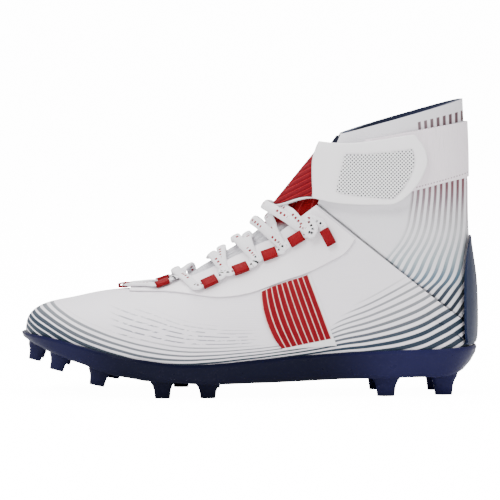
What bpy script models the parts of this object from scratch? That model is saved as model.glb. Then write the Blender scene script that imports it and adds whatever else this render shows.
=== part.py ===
"""American football cleat, high top, left shoe, standing on its studs.

Metres, +Z up. The toe points to -X and the outer side of the foot is at -Y.
The upper is a fan of cross sections: each station runs from the sole's rim, or
further back from the heel line, up to the crest of the vamp, instep and shin.
"""
from collections import namedtuple
from math import cos, pi, radians, sin, sqrt, tan

import bmesh
import bpy
import numpy as np
from mathutils import Vector

# Driving sizes of the last
LAST_LENGTH = 0.295
BALL_WIDTH = 0.094
HEEL_WIDTH = 0.066
ANKLE_WIDTH = 0.068
UPPER_HEIGHT = 0.1813
TOE_ROUND = 0.050
CREST_ROUND = 0.030
HEEL_ROUND = 0.034
TOE_SQUARENESS = 2.1
CREST_SQUARENESS = 3.0
HEEL_SQUARENESS = 2.0
SWELL = 0.0015

# Driving sizes of the sole
STUD_HEIGHT = 0.0127
TOE_SPRING = 0.0213
SOLE_SIDE = 0.018
UNDERCUT = 0.006
EDGE_ROUND = 0.0028
PLATE = 0.0032
RIM_WALL = 0.0022
INSOLE = 0.0045
BUTTRESS = 0.0016

# Walls, layers and clearances
GAP = 0.0003
UPPER_WALL = 0.0022
SHAFT_SINK = 0.0008
SHAFT_WALL = 0.0026
TUCKED_WALL = 0.0018
TONGUE_WALL = 0.0030
TONGUE_SINK = 0.0012
TONGUE_EDGE_SINK = 0.0056
TONGUE_TUCK = 0.008
OVERLAY_LIFT = 0.00045
EYESTAY_WALL = 0.0009
PANEL_WALL = 0.0008
RIB_HEIGHT = 0.0009
RIBS = 9
COUNTER_WALL = 0.0019
COUNTER_TIP = 0.0005
COUNTER_RIDGE = 0.0012
BAND_WALL = 0.0014
STRAP_WALL = 0.0015
STRAP_STAND_OFF = 0.0020
BINDING_WIDTH = 0.0026
TAB_WALL = 0.0034
TAB_RECESS = 0.0011
TAB_STAND_OFF = 0.0072
INLAY_WALL = 0.0006

# Lace and its webbing loops
LACE_WIDTH = 0.006
LACE_WALL = 0.0014
LACE_LIFT = 0.0021
LACE_CELLS = 3
CROSSING_FALL = 0.040
TOE_LACE_WIDTH = 0.0056
TOE_LACE_WALL = 0.0010
LOOP_WALL = 0.0009

# Cells a section of the upper is divided into on each side, and a weld that only joins equal points
CELLS = 8
WELD = 1e-6
SLOPE_STEP = 1e-4

# Stations on the fan of sections, and where its sections start to follow the heel's own outline
HEEL_START = 0.75
HEEL_FULL = 0.87
HEEL_BLEND = 0.15
THROAT = 0.235
SEAM = 1.065
COLLAR = 2.0
LATERAL = -1
MEDIAL = 1

Outline = namedtuple("Outline", "along ball lateral medial centre lift side undercut")
OUTLINE = [
    # Widths are shares of the width there, lift of TOE_SPRING, side of SOLE_SIDE
    Outline(0.00, 1.00, .362, .426, .096, 1.00, .32, .8),
    Outline(0.06, 1.00, .395, .447, .090, .750, .56, .9),
    Outline(0.14, 1.00, .442, .472, .076, .400, .69, 1.0),
    Outline(0.20, 1.00, .479, .484, .064, .120, .76, 1.0),
    Outline(0.27, 1.00, .505, .489, .048, -.045, .77, 1.0),
    Outline(0.35, 1.00, .516, .463, .037, -.110, .68, 1.0),
    Outline(0.45, 0.95, .489, .392, .027, -.165, .80, 1.0),
    Outline(0.55, 0.70, .473, .356, .019, -.150, .93, 1.0),
    Outline(0.65, 0.35, .475, .369, .015, -.100, .99, 1.0),
    Outline(0.75, 0.10, .487, .414, .011, -.045, 1.00, 1.0),
    Outline(0.87, 0.00, .500, .478, .005, .000, 1.02, 1.1),
    Outline(1.00, 0.00, .500, .500, .000, .000, 1.07, 2.0),
]

Section = namedtuple("Section", "station along rise belly top side ankle girth throat")
SECTIONS = [
    # Along is a share of LAST_LENGTH, rise of UPPER_HEIGHT, belly and throat of the section's height
    Section(0.000, .0000, .1320, .35, 2.00, 2.20, 0.0, 1.0, .002),
    Section(0.100, .1000, .2030, .25, 2.00, 2.20, 0.0, 1.0, .003),
    Section(0.200, .2000, .2890, .22, 2.00, 2.10, 0.0, 1.0, .004),
    Section(0.300, .2980, .3310, .20, 1.90, 1.90, 0.0, 1.0, .014),
    Section(0.400, .3824, .4030, .17, 1.70, 1.60, 0.0, 1.0, .080),
    Section(0.500, .4404, .4620, .16, 1.60, 1.50, 0.0, 1.0, .095),
    Section(0.600, .4760, .4940, .15, 1.55, 1.45, 0.0, 1.0, .095),
    Section(0.700, .5040, .5185, .15, 1.55, 1.45, 0.0, 1.0, .093),
    Section(0.800, .5229, .5356, .17, 1.60, 1.50, .35, 1.0, .098),
    Section(0.900, .5430, .5764, .22, 1.70, 1.55, .80, 1.0, .100),
    Section(1.000, .5674, .6250, .27, 1.80, 1.60, 1.0, 1.0, .105),
    Section(1.065, .5964, .6840, .29, 1.85, 1.65, 1.0, 1.0, .130),
    Section(1.250, .6165, .7226, .35, 1.90, 1.70, 1.0, 1.0, .120),
    Section(1.500, .6388, .7670, .41, 1.95, 1.80, 1.0, .98, .100),
    Section(1.750, .6622, .8110, .44, 2.00, 1.90, 1.0, .97, .070),
    Section(2.000, .6878, .8660, .46, 2.00, 2.00, 1.0, .97, .045),
]

HeelLine = namedtuple("HeelLine", "station back")
HEEL_LINE = [
    # How far the heel line stands behind the heel end, as a share of LAST_LENGTH
    HeelLine(1.000, .0000),
    HeelLine(1.065, .0037),
    HeelLine(1.250, .0017),
    HeelLine(1.500, -.0092),
    HeelLine(1.750, -.0105),
    HeelLine(2.000, -.0166),
]

EyestayEdge = namedtuple("EyestayEdge", "station drop")
EYESTAY_EDGE = [
    # Lower edge of the eyestay, as a share of the section's height down from the crest
    EyestayEdge(0.235, .030),
    EyestayEdge(0.300, .075),
    EyestayEdge(0.380, .235),
    EyestayEdge(0.470, .385),
    EyestayEdge(0.550, .420),
    EyestayEdge(0.700, .390),
    EyestayEdge(0.850, .365),
    EyestayEdge(1.000, .345),
    EyestayEdge(1.055, .345),
]

PanelEdge = namedtuple("PanelEdge", "across front back")
PANEL_EDGES = [
    # Front and back edge of the stretch panel at shares of the section's height above the rim
    PanelEdge(.065, .582, .706),
    PanelEdge(.200, .570, .722),
    PanelEdge(.330, .570, .745),
    PanelEdge(.460, .578, .775),
    PanelEdge(.575, .594, .812),
]
PANEL_RISE = .042

BandEdge = namedtuple("BandEdge", "across low high")
BAND_EDGES = [
    # Lower and upper edge of the ankle band, by share of the section's height in front of the heel line
    BandEdge(.00, 1.684, 1.905),
    BandEdge(.19, 1.638, 1.908),
    BandEdge(.37, 1.562, 1.905),
    BandEdge(.50, 1.500, 1.900),
    BandEdge(.75, 1.420, 1.880),
]
BAND_LATERAL_END = .74
BAND_MEDIAL_END = .72

StrapEdge = namedtuple("StrapEdge", "turn low high")
STRAP_EDGES = [
    # Lower and upper edge of the front strap; turn is minus the drop outside, plus the drop inside
    StrapEdge(-.160, 1.165, 1.560),
    StrapEdge(-.090, 1.072, 1.600),
    StrapEdge(-.040, 1.012, 1.640),
    StrapEdge(0.000, 0.960, 1.660),
    StrapEdge(.040, 1.012, 1.680),
    StrapEdge(.100, 1.075, 1.720),
    StrapEdge(.270, 1.120, 1.860),
]

TabEdge = namedtuple("TabEdge", "share back_station back_drop front_station front_drop bow")
TAB_EDGES = [
    # Back and front edge of the closing tab from its lower to its upper edge; bow lifts the middle, in stations
    TabEdge(.00, 1.435, .509, 1.100, .113, .035),
    TabEdge(.25, 1.530, .600, 1.290, .080, .020),
    TabEdge(.68, 1.750, .703, 1.600, .045, .005),
    TabEdge(1.0, 1.884, .601, 1.805, .046, .020),
]

Counter = namedtuple("Counter", "station reach")
COUNTER = [
    # How far the heel counter reaches forward of the heel line
    Counter(0.984, .013),
    Counter(0.992, .030),
    Counter(1.012, .056),
    Counter(1.075, .070),
    Counter(1.200, .072),
    Counter(1.330, .054),
    Counter(1.400, .026),
    Counter(1.440, .006),
]

Loop = namedtuple("Loop", "station drop length width height turn")
TOE_LOOP = Loop(.225, .0, .0078, .0100, .0038, 90)
LOOPS = [
    # Webbing loops up each side of the throat, by station and drop, turned towards the crest in degrees
    Loop(.315, .052, .0092, .0078, .0034, 0),
    Loop(.440, .228, .0100, .0078, .0034, 0),
    Loop(.555, .225, .0100, .0078, .0034, 0),
    Loop(.712, .198, .0100, .0078, .0034, 0),
    Loop(.900, .183, .0100, .0078, .0034, 0),
    Loop(1.008, .250, .0112, .0070, .0034, 62),
]

Stud = namedtuple("Stud", "name side along inset root_length root_width tip_length tip_width reach lean")
STUDS = [
    # Root and tip sizes and reach in metres, lean towards the toe in degrees
    Stud("toe", LATERAL, .031, .0110, .0135, .0110, .0082, .0062, .0095, 14),
    Stud("toe", MEDIAL, .034, .0110, .0135, .0110, .0082, .0062, .0095, 14),
    Stud("front", LATERAL, .083, .0095, .0150, .0125, .0092, .0070, .0100, 15),
    Stud("front", MEDIAL, .090, .0095, .0150, .0125, .0092, .0070, .0100, 15),
    Stud("tread", LATERAL, .172, .0095, .0160, .0130, .0100, .0080, .0100, 12),
    Stud("tread", MEDIAL, .190, .0095, .0160, .0130, .0100, .0080, .0100, 10),
    Stud("ball", LATERAL, .310, .0100, .0170, .0140, .0100, .0085, .0, 0),
    Stud("ball", MEDIAL, .347, .0100, .0170, .0140, .0100, .0085, .0, 0),
    Stud("arch", LATERAL, .410, .0100, .0170, .0140, .0100, .0085, .0, 0),
    Stud("arch", MEDIAL, .418, .0100, .0170, .0140, .0100, .0085, .0, 0),
    Stud("heel", LATERAL, .803, .0100, .0200, .0150, .0115, .0090, .0, 0),
    Stud("heel", MEDIAL, .790, .0100, .0200, .0150, .0115, .0090, .0, 0),
    Stud("back", LATERAL, .932, .0150, .0190, .0150, .0115, .0090, .0, 0),
    Stud("back", MEDIAL, .920, .0150, .0190, .0150, .0115, .0090, .0, 0),
]

Tooth = namedtuple("Tooth", "along turn length width height")
TEETH = [
    # Low teeth and the ridge between the studs; turn is a share of BALL_WIDTH from the centre
    Tooth(.092, 0.00, .0060, .012, .0040),
    Tooth(.130, 0.12, .0060, .010, .0040),
    Tooth(.205, -.16, .0070, .010, .0050),
    Tooth(.235, 0.10, .0060, .012, .0045),
    Tooth(.455, 0.00, .0070, .040, .0030),
]

Finish = namedtuple("Finish", "name colour roughness metallic")
WHITE_SYNTHETIC = Finish("white_synthetic", (.86, .85, .88), .5, 0)
WHITE_KNIT = Finish("white_knit", (.80, .80, .84), .8, 0)
NAVY_PLATE = Finish("navy_plate", (.012, .022, .105), .25, 0)
NAVY_RUBBER = Finish("navy_rubber", (.02, .03, .10), .4, 0)
GREY_MESH = Finish("grey_mesh", (.55, .56, .60), .85, 0)
RED_RIB = Finish("red_rib", (.50, .015, .02), .7, 0)
RED_WEBBING = Finish("red_webbing", (.55, .02, .02), .8, 0)
WHITE_ELASTIC = Finish("white_elastic", (.84, .82, .84), .75, 0)
WHITE_MOULDED = Finish("white_moulded", (.88, .88, .90), .3, 0)
SILVER_MESH = Finish("silver_mesh", (.50, .50, .53), .45, 0)
WHITE_LACE = Finish("white_lace", (.88, .88, .90), .85, 0)


def mix(low, high, share):
    """Value at a share of the way from low to high."""
    return low + (high - low) * share


def smooth(share):
    """Soft step from 0 to 1."""
    share = min(max(share, 0.0), 1.0)
    return share * share * (3 - 2 * share)


class Column:
    """One column of a table as a smooth curve that never overshoots its rows."""

    def __init__(self, table, name):
        self.at = np.array([row[0] for row in table], dtype=float)
        self.value = np.array([getattr(row, name) for row in table], dtype=float)
        span = np.diff(self.at)
        rate = np.diff(self.value) / span
        slope = np.zeros(len(table))
        slope[0] = rate[0]
        slope[-1] = rate[-1]
        for i in range(1, len(table) - 1):
            if rate[i - 1] * rate[i] > 0:
                before = 2 * span[i] + span[i - 1]
                after = span[i] + 2 * span[i - 1]
                slope[i] = (before + after) / (before / rate[i - 1] + after / rate[i])
        self.slope = slope

    def __call__(self, at):
        at = min(max(at, self.at[0]), self.at[-1])
        i = min(int(np.searchsorted(self.at, at, side="right")) - 1, len(self.at) - 2)
        span = self.at[i + 1] - self.at[i]
        t = (at - self.at[i]) / span
        square, cube = t * t, t * t * t
        return float((2 * cube - 3 * square + 1) * self.value[i]
                     + (cube - 2 * square + t) * span * self.slope[i]
                     + (3 * square - 2 * cube) * self.value[i + 1]
                     + (cube - square) * span * self.slope[i + 1])


OUTLINE_AT = {name: Column(OUTLINE, name) for name in Outline._fields[1:]}
SECTION_AT = {name: Column(SECTIONS, name) for name in Section._fields[1:]}
HEEL_BACK = Column(HEEL_LINE, "back")


def round_end(share, squareness):
    """Quarter of a superellipse: 0 at the end, 1 from a share of 1 on."""
    if share >= 1:
        return 1.0
    return (1 - (1 - max(share, 0.0)) ** squareness) ** (1 / squareness)


def outline_cap(along):
    """Share of the full width that the rounded toe and heel leave."""
    toe = round_end(along * LAST_LENGTH / TOE_ROUND, TOE_SQUARENESS)
    heel = round_end((1 - along) * LAST_LENGTH / HEEL_ROUND, HEEL_SQUARENESS)
    return toe * heel


def local_width(along):
    """Width that the outline's shares refer to."""
    return mix(HEEL_WIDTH, BALL_WIDTH, OUTLINE_AT["ball"](along))


def centre_y(along):
    """Middle of the foot, which swings to the inner side at the toe."""
    return OUTLINE_AT["centre"](along) * BALL_WIDTH


def outline_y(along, side):
    """Feather line on one side."""
    half = OUTLINE_AT["lateral" if side < 0 else "medial"](along) * local_width(along)
    centre = centre_y(along)
    return centre + side * (half - side * centre) * outline_cap(along)


def under_z(along):
    """Underside of the plate."""
    return STUD_HEIGHT + TOE_SPRING * OUTLINE_AT["lift"](along)


def side_height(along):
    """Height of the sole's side."""
    return SOLE_SIDE * OUTLINE_AT["side"](along)


def rim_z(along):
    """Top of the sole's side."""
    return under_z(along) + side_height(along)


def base_point(station):
    """Lower end of a section, as (x, z)."""
    if station <= 1:
        return (station - 0.5) * LAST_LENGTH, rim_z(station)
    climb = (station - 1) * (STUD_HEIGHT + UPPER_HEIGHT - rim_z(1.0))
    return (0.5 + HEEL_BACK(station)) * LAST_LENGTH, rim_z(1.0) + climb


def crest_point(station):
    """Upper end of a section, as (x, z)."""
    x = (SECTION_AT["along"](station) - 0.5) * LAST_LENGTH
    z = under_z(min(station, 1.0)) + SECTION_AT["rise"](station) * UPPER_HEIGHT
    if station < 1:
        low = rim_z(station)
        z = low + (z - low) * round_end(station * LAST_LENGTH / CREST_ROUND, CREST_SQUARENESS)
    return x, z


def section_along(station, up):
    """Share along the foot whose outline a point follows: its own place at the heel, else its station."""
    start = base_point(min(station, 1.0))[0]
    own = mix(start, crest_point(station)[0], up) / LAST_LENGTH + 0.5
    return mix(min(station, 1.0), own, smooth((station - HEEL_START) / (HEEL_FULL - HEEL_START)))


def lower_half(station, up, side):
    """Half width of a section from its base up to the belly."""
    leg = ANKLE_WIDTH / 2 * SECTION_AT["girth"](station)
    share = min(up / SECTION_AT["belly"](station), 1.0)
    bulge = 1 - (1 - share) ** 2
    along = section_along(station, up)
    foot = abs(outline_y(along, side) - centre_y(along))
    ankle = SECTION_AT["ankle"](station)
    swell = SWELL * outline_cap(along) * (1 - ankle) * bulge
    form = (foot + swell) * mix(1.0, 2 * leg / HEEL_WIDTH, ankle * smooth(share))
    return mix(form, leg * sqrt(bulge), smooth((station - 1) / HEEL_BLEND))


def half_width(station, up, side):
    """Half width of a section at a share of its height."""
    belly = SECTION_AT["belly"](station)
    if up <= belly:
        return lower_half(station, up, side)
    share = min((up - belly) / (1 - belly), 1.0)
    top, power = SECTION_AT["top"](station), SECTION_AT["side"](station)
    return lower_half(station, belly, side) * (1 - share ** top) ** (1 / power)


def surface(station, up, side):
    """Point of the upper's outer form."""
    low_x, low_z = base_point(station)
    top_x, top_z = crest_point(station)
    centre = centre_y(station) if station < 1 else 0.0
    return Vector((mix(low_x, top_x, up),
                   centre + side * half_width(station, up, side),
                   mix(low_z, top_z, up)))


def by_turn(station, turn):
    """Point by turn: minus the drop from the crest on the outer side, plus on the inner side."""
    return surface(station, 1 - abs(turn), LATERAL if turn < 0 else MEDIAL)


def outward(station, up, side):
    """Outward direction of the upper's outer form."""
    up = min(max(up, SLOPE_STEP), 1 - SLOPE_STEP)
    along = surface(station + SLOPE_STEP, up, side) - surface(station - SLOPE_STEP, up, side)
    across = surface(station, up + SLOPE_STEP, side) - surface(station, up - SLOPE_STEP, side)
    normal = along.cross(across).normalized()
    return normal if normal.y * side >= 0 else -normal


class Path:
    """One side of a section measured by length from its crest."""

    SAMPLES = 90

    def __init__(self, station, side):
        self.ups = [(1 - cos(pi * i / self.SAMPLES)) / 2 for i in range(self.SAMPLES + 1)][::-1]
        points = [surface(station, up, side) for up in self.ups]
        lengths = [0.0]
        for a, b in zip(points, points[1:]):
            lengths.append(lengths[-1] + (b - a).length)
        self.lengths = lengths

    def up_at(self, length):
        """Share of the section's height at a length from the crest."""
        return float(np.interp(length, self.lengths, self.ups))

    def length_at(self, up):
        """Length from the crest down to a share of the section's height."""
        return float(np.interp(-up, [-value for value in self.ups], self.lengths))


def side_ups(station, side, low, high, cells):
    """Shares of height from low to high, evenly spread by length and closer towards the crest."""
    path = Path(station, side)
    start, end = path.length_at(low), path.length_at(high)
    shares = [1 - (1 - i / cells) ** 1.3 for i in range(cells + 1)]
    ups = [path.up_at(mix(start, end, share)) for share in shares]
    ups[0], ups[-1] = low, high
    return ups


def add_object(name, mesh_data, finish):
    """New object with its own material, shaded smooth with sharp edges kept."""
    mesh = bpy.data.meshes.new(name)
    mesh_data.to_mesh(mesh)
    mesh_data.free()
    mesh.shade_smooth()
    mesh.set_sharp_from_angle(angle=radians(35))
    thing = bpy.data.objects.new(name, mesh)
    bpy.context.scene.collection.objects.link(thing)
    material = bpy.data.materials.get(finish.name)
    if material is None:
        material = bpy.data.materials.new(finish.name)
        material.use_nodes = True
        shader = material.node_tree.nodes["Principled BSDF"]
        shader.inputs["Base Color"].default_value = (*finish.colour, 1)
        shader.inputs["Roughness"].default_value = finish.roughness
        shader.inputs["Metallic"].default_value = finish.metallic
    mesh.materials.append(material)
    return thing


def add_wall(name, rows, outer, inner, finish, kept=None):
    """Closed wall on a grid of points, between two distances from it.

    rows is a list of rows of points; outer and inner are numbers or functions
    of row and column; kept says which cells of the grid exist.
    """
    sheet = bmesh.new()
    out_layer = sheet.verts.layers.float.new("outer")
    in_layer = sheet.verts.layers.float.new("inner")
    grid = []
    for i, row in enumerate(rows):
        line = []
        for j, point in enumerate(row):
            vert = sheet.verts.new(point)
            vert[out_layer] = outer(i, j) if callable(outer) else outer
            vert[in_layer] = inner(i, j) if callable(inner) else inner
            line.append(vert)
        grid.append(line)
    for i in range(len(rows) - 1):
        for j in range(len(rows[i]) - 1):
            if kept is None or kept(i, j):
                sheet.faces.new((grid[i][j], grid[i + 1][j], grid[i + 1][j + 1], grid[i][j + 1]))
    loose = [vert for vert in sheet.verts if not vert.link_faces]
    bmesh.ops.delete(sheet, geom=loose, context="VERTS")
    bmesh.ops.remove_doubles(sheet, verts=sheet.verts, dist=WELD)
    bmesh.ops.dissolve_degenerate(sheet, dist=WELD, edges=sheet.edges)
    bmesh.ops.triangulate(sheet, faces=sheet.faces, quad_method="SHORT_EDGE")
    sheet.normal_update()
    facing = 0.0
    for face in sheet.faces:
        middle = face.calc_center_median()
        facing += face.normal.dot(middle - Vector((middle.x, 0, 0.6 * middle.z))) * face.calc_area()
    if facing < 0:
        bmesh.ops.reverse_faces(sheet, faces=sheet.faces)
        sheet.normal_update()
    solid = bmesh.new()
    far = {v: solid.verts.new(v.co + v.normal * v[out_layer]) for v in sheet.verts}
    near = {v: solid.verts.new(v.co + v.normal * v[in_layer]) for v in sheet.verts}
    for face in sheet.faces:
        solid.faces.new([far[v] for v in face.verts])
        solid.faces.new([near[v] for v in reversed(face.verts)])
        for corner in face.loops:
            if corner.edge.is_boundary:
                a, b = corner.vert, corner.link_loop_next.vert
                solid.faces.new((far[b], far[a], near[a], near[b]))
    sheet.free()
    return add_object(name, solid, finish)


MIDDLE_STATIONS = [.205, THROAT, .270, .310, .347, .380, .414, .455, .505, .555, .605, .655, .705, .750, .795, .840]


def foot_stations():
    """Stations along the foot, close together where the toe and the heel turn."""
    toe_cells, heel_cells = 8, 6
    toe = [TOE_ROUND * (1 - cos(pi / 2 * i / toe_cells)) / LAST_LENGTH for i in range(toe_cells + 1)]
    heel = [1 - HEEL_ROUND * (1 - cos(pi / 2 * i / heel_cells)) / LAST_LENGTH for i in range(heel_cells + 1)]
    between = [station for station in MIDDLE_STATIONS if toe[-1] < station < heel[-1]]
    return toe + between + heel[::-1]


class Ring:
    """The feather line as a closed ring of points with outward directions."""

    def __init__(self, alongs):
        self.alongs = alongs
        last = len(alongs) - 1
        walk = [(i, LATERAL) for i in range(last + 1)] + [(i, MEDIAL) for i in range(last - 1, 0, -1)]
        flat = {}
        for i, side in walk:
            flat[i, side] = Vector(((alongs[i] - 0.5) * LAST_LENGTH, outline_y(alongs[i], side), 0))
        self.points = {}
        self.normals = {}
        for k, key in enumerate(walk):
            tangent = flat[walk[(k + 1) % len(walk)]] - flat[walk[k - 1]]
            normal = Vector((tangent.y, -tangent.x, 0)).normalized()
            for side in ((LATERAL, MEDIAL) if key[0] in (0, last) else (key[1],)):
                self.points[key[0], side] = flat[key]
                self.normals[key[0], side] = normal if normal.y * key[1] >= 0 or key[0] in (0, last) else -normal
        self.normals[0, LATERAL] = self.normals[0, MEDIAL] = Vector((-1, 0, 0))
        self.normals[last, LATERAL] = self.normals[last, MEDIAL] = Vector((1, 0, 0))

    def at(self, i, side, proud, z):
        """Point at a distance outside the feather line and a height."""
        flat = self.points[i, side] + self.normals[i, side] * proud
        return Vector((flat.x, flat.y, z))


def tuck_in(along, depth):
    """How far the sole's side has drawn in at a depth below the rim, as a share of its height."""
    return UNDERCUT * OUTLINE_AT["undercut"](along) * depth * depth


SKIRT_SHARES = (0.45, 0.8)


def floor_depth(along, lift=0.0):
    """Depth of the floor inside the sole below its rim, as a share of the side's height."""
    return 1 - (PLATE + lift) / side_height(along)


def wall_depths(along):
    """Depths of the rings between the sole's rim and its floor."""
    return [share * floor_depth(along) for share in SKIRT_SHARES]


def upper_rows():
    """Points of the upper from the toe to the quarter's seam, with the margin inside the sole."""
    alongs = foot_stations()
    ring = Ring(alongs)
    near = min(range(len(alongs)), key=lambda i: abs(alongs[i] - THROAT))
    stations = alongs + [mix(1.0, SEAM, 0.5), SEAM]
    rows = []
    for i, station in enumerate(stations):
        sides = []
        for side in (LATERAL, MEDIAL):
            edge = 1 - SECTION_AT["throat"](station)
            ups = side_ups(station, side, 0.0, edge, CELLS)
            column = [surface(station, up, side) for up in ups]
            if station <= 1:
                depths = [floor_depth(station, GAP)] + wall_depths(station)[::-1]
                skirt = [ring.at(i, side, -tuck_in(station, depth), rim_z(station) - depth * side_height(station))
                         for depth in depths]
            else:
                skirt = [column[0]] * (len(SKIRT_SHARES) + 1)
            sides.append(skirt + column)
        crest = [surface(station, 1.0, MEDIAL)]
        rows.append(sides[0] + crest + sides[1][::-1])
    return rows, alongs, near


def build_upper():
    """Vamp and quarter as one hollow wall, open at the throat and underneath."""
    rows, alongs, near = upper_rows()
    margin = len(SKIRT_SHARES) + 1
    middle = len(rows[0]) // 2
    heel_row = len(alongs) - 1

    def kept(i, j):
        over_throat = j in (middle - 1, middle) and i >= near
        in_margin = (j < margin or j >= len(rows[0]) - 1 - margin) and i >= heel_row
        return not over_throat and not in_margin

    return add_wall("upper", rows, 0.0, -UPPER_WALL, WHITE_SYNTHETIC, kept)


def build_shaft():
    """Ankle and heel wall, tucked under the quarter and open at the collar and the throat."""
    tucked_end = SEAM + 0.004
    visible_start = SEAM + 0.013
    stations = [1.0, 1.035, tucked_end, visible_start]
    stations += [mix(visible_start, COLLAR, i / 10) for i in range(1, 11)]
    rows = []
    for station in stations:
        edge = 1 - SECTION_AT["throat"](station)
        lateral = [surface(station, up, LATERAL) for up in side_ups(station, LATERAL, 0.0, edge, CELLS)]
        medial = [surface(station, up, MEDIAL) for up in side_ups(station, MEDIAL, 0.0, edge, CELLS)]
        rows.append(lateral[::-1] + medial[1:])
    tucked = -UPPER_WALL - 3 * GAP

    def outer(i, j):
        return tucked if stations[i] <= tucked_end else -SHAFT_SINK

    def inner(i, j):
        return tucked - TUCKED_WALL if stations[i] <= tucked_end else -SHAFT_SINK - SHAFT_WALL

    return add_wall("shaft", rows, outer, inner, WHITE_KNIT)


def build_tongue():
    """Padded tongue from under the vamp to the collar, highest along its middle."""
    stations = [.190, .225, .26, .30, .345, .39, .44, .51, .58, .65, .73, .81, .89, .96, 1.03, 1.09]
    stations += [1.20, 1.36, 1.52, 1.68, 1.84, COLLAR]
    rows = []
    for station in stations:
        row = []
        for side in (LATERAL, MEDIAL):
            path = Path(station, side)
            edge = path.length_at(1 - SECTION_AT["throat"](station))
            lengths = [edge + TONGUE_TUCK, edge + 0.001, 0.6 * edge]
            row.append([surface(station, path.up_at(length), side) for length in lengths])
        rows.append(row[0] + [surface(station, 1.0, MEDIAL)] + row[1][::-1])
    shares = [0.0, 0.0, 0.75, 1.0, 0.75, 0.0, 0.0]

    def outer(i, j):
        open_share = smooth((stations[i] - THROAT) / 0.07)
        return -mix(TONGUE_EDGE_SINK, TONGUE_SINK, shares[j] * open_share)

    def inner(i, j):
        return outer(i, j) - TONGUE_WALL

    return add_wall("tongue", rows, outer, inner, GREY_MESH)


FLOOR_COLUMNS = (0.3, 0.7)


def stud_share(along, side):
    """How much of a stud's root the sole's side carries at a place, from 0 to 1."""
    share = 0.0
    for stud in STUDS:
        if stud.side == side:
            reach = abs(along - stud.along) * LAST_LENGTH / stud.root_length
            share = max(share, 1 - smooth((reach - 0.35) / 0.75))
    return share * outline_cap(along)


def sole_profile(ring, i, side):
    """Points of the sole's side from the underside's edge over the rim to the floor's edge."""
    along = ring.alongs[i]
    low, high, rim = under_z(along), rim_z(along), GAP + RIM_WALL
    side_z = side_height(along)
    stud = stud_share(along, side)
    profile = []
    for rise, edge in ((0.0, EDGE_ROUND), (0.0008, 0.3 * EDGE_ROUND), (0.0030, 0.0)):
        depth = 1 - rise / side_z
        draw = tuck_in(along, depth) * (1 - 0.45 * stud) + edge * (1 - 0.7 * stud)
        profile.append(ring.at(i, side, rim - draw + BUTTRESS * stud * (1 - rise / 0.009), low + rise))
    for depth in (0.67 * depth, 0.34 * depth):
        bulge = BUTTRESS * stud * max(0.0, 1 - (1 - depth) * side_z / 0.009)
        profile.append(ring.at(i, side, rim - tuck_in(along, depth) + bulge, high - depth * side_z))
    profile.append(ring.at(i, side, rim, high - 0.10 * side_z))
    profile.append(ring.at(i, side, rim - 0.0006, high))
    profile.append(ring.at(i, side, GAP, high))
    for depth in wall_depths(along) + [floor_depth(along)]:
        profile.append(ring.at(i, side, GAP - tuck_in(along, depth), high - depth * side_z))
    return profile


def across(start, end):
    """Points between two points of a floor or an underside."""
    return [start.lerp(end, share) for share in FLOOR_COLUMNS]


def build_plate():
    """Sole plate and its side as one cup, without the studs."""
    ring = Ring(foot_stations())
    loops = []
    for i in range(len(ring.alongs)):
        lateral = sole_profile(ring, i, LATERAL)
        medial = sole_profile(ring, i, MEDIAL)
        floor = across(lateral[-1], medial[-1])
        underside = across(medial[0], lateral[0])
        loops.append(lateral + floor + medial[::-1] + underside)
    mesh = bmesh.new()
    grid = [[mesh.verts.new(point) for point in loop] for loop in loops]
    count = len(loops[0])
    for i in range(len(loops) - 1):
        for j in range(count):
            k = (j + 1) % count
            mesh.faces.new((grid[i][j], grid[i + 1][j], grid[i + 1][k], grid[i][k]))
    bmesh.ops.remove_doubles(mesh, verts=mesh.verts, dist=WELD)
    bmesh.ops.dissolve_degenerate(mesh, dist=WELD, edges=mesh.edges)
    bmesh.ops.recalc_face_normals(mesh, faces=mesh.faces)
    return add_object("outsole", mesh, NAVY_PLATE)


def loft(mesh, rings):
    """Closed body through rings of points of equal number."""
    rows = [[mesh.verts.new(point) for point in ring] for ring in rings]
    count = len(rings[0])
    for a, b in zip(rows, rows[1:]):
        for j in range(count):
            k = (j + 1) % count
            mesh.faces.new((a[j], a[k], b[k], b[j]))
    mesh.faces.new(rows[0][::-1])
    mesh.faces.new(rows[-1])


def round_box(centre, x_axis, y_axis, length, width, points=10, squareness=3.0):
    """Ring of points round a rectangle with rounded corners."""
    ring = []
    for i in range(points):
        angle = 2 * pi * (i + 0.5) / points
        c, s = cos(angle), sin(angle)
        x = abs(c) ** (2 / squareness) * (1 if c > 0 else -1) * length / 2
        y = abs(s) ** (2 / squareness) * (1 if s > 0 else -1) * width / 2
        ring.append(centre + x_axis * x + y_axis * y)
    return ring


def add_studs(mesh):
    """Studs, flared at their roots; the ones of ball, arch and heel end on the ground plane."""
    for stud in STUDS:
        edge = outline_y(stud.along, stud.side)
        root = Vector(((stud.along - 0.5) * LAST_LENGTH,
                       edge - stud.side * stud.inset,
                       under_z(stud.along)))
        x_axis = Vector((1, 0, 0))
        down = Vector((-tan(radians(stud.lean)), 0, -1)).normalized()
        if stud.lean:
            x_axis = Vector((-down.z, 0, down.x))
            reach = stud.reach
        else:
            reach = root.z
        y_axis = Vector((0, 1, 0))
        rings = []
        for share, flare in ((-PLATE * 0.6 / reach, 1.0), (0.05, 0.86), (0.22, 0.50), (0.50, 0.20), (1.0, 0.0)):
            length = mix(stud.tip_length, stud.root_length, flare)
            width = mix(stud.tip_width, stud.root_width, flare)
            centre = root + down * (reach * share)
            rings.append(round_box(centre, x_axis, y_axis, length, width))
        if not stud.lean:
            rings[-1] = [Vector((point.x, point.y, 0.0)) for point in rings[-1]]
        loft(mesh, rings)


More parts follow.
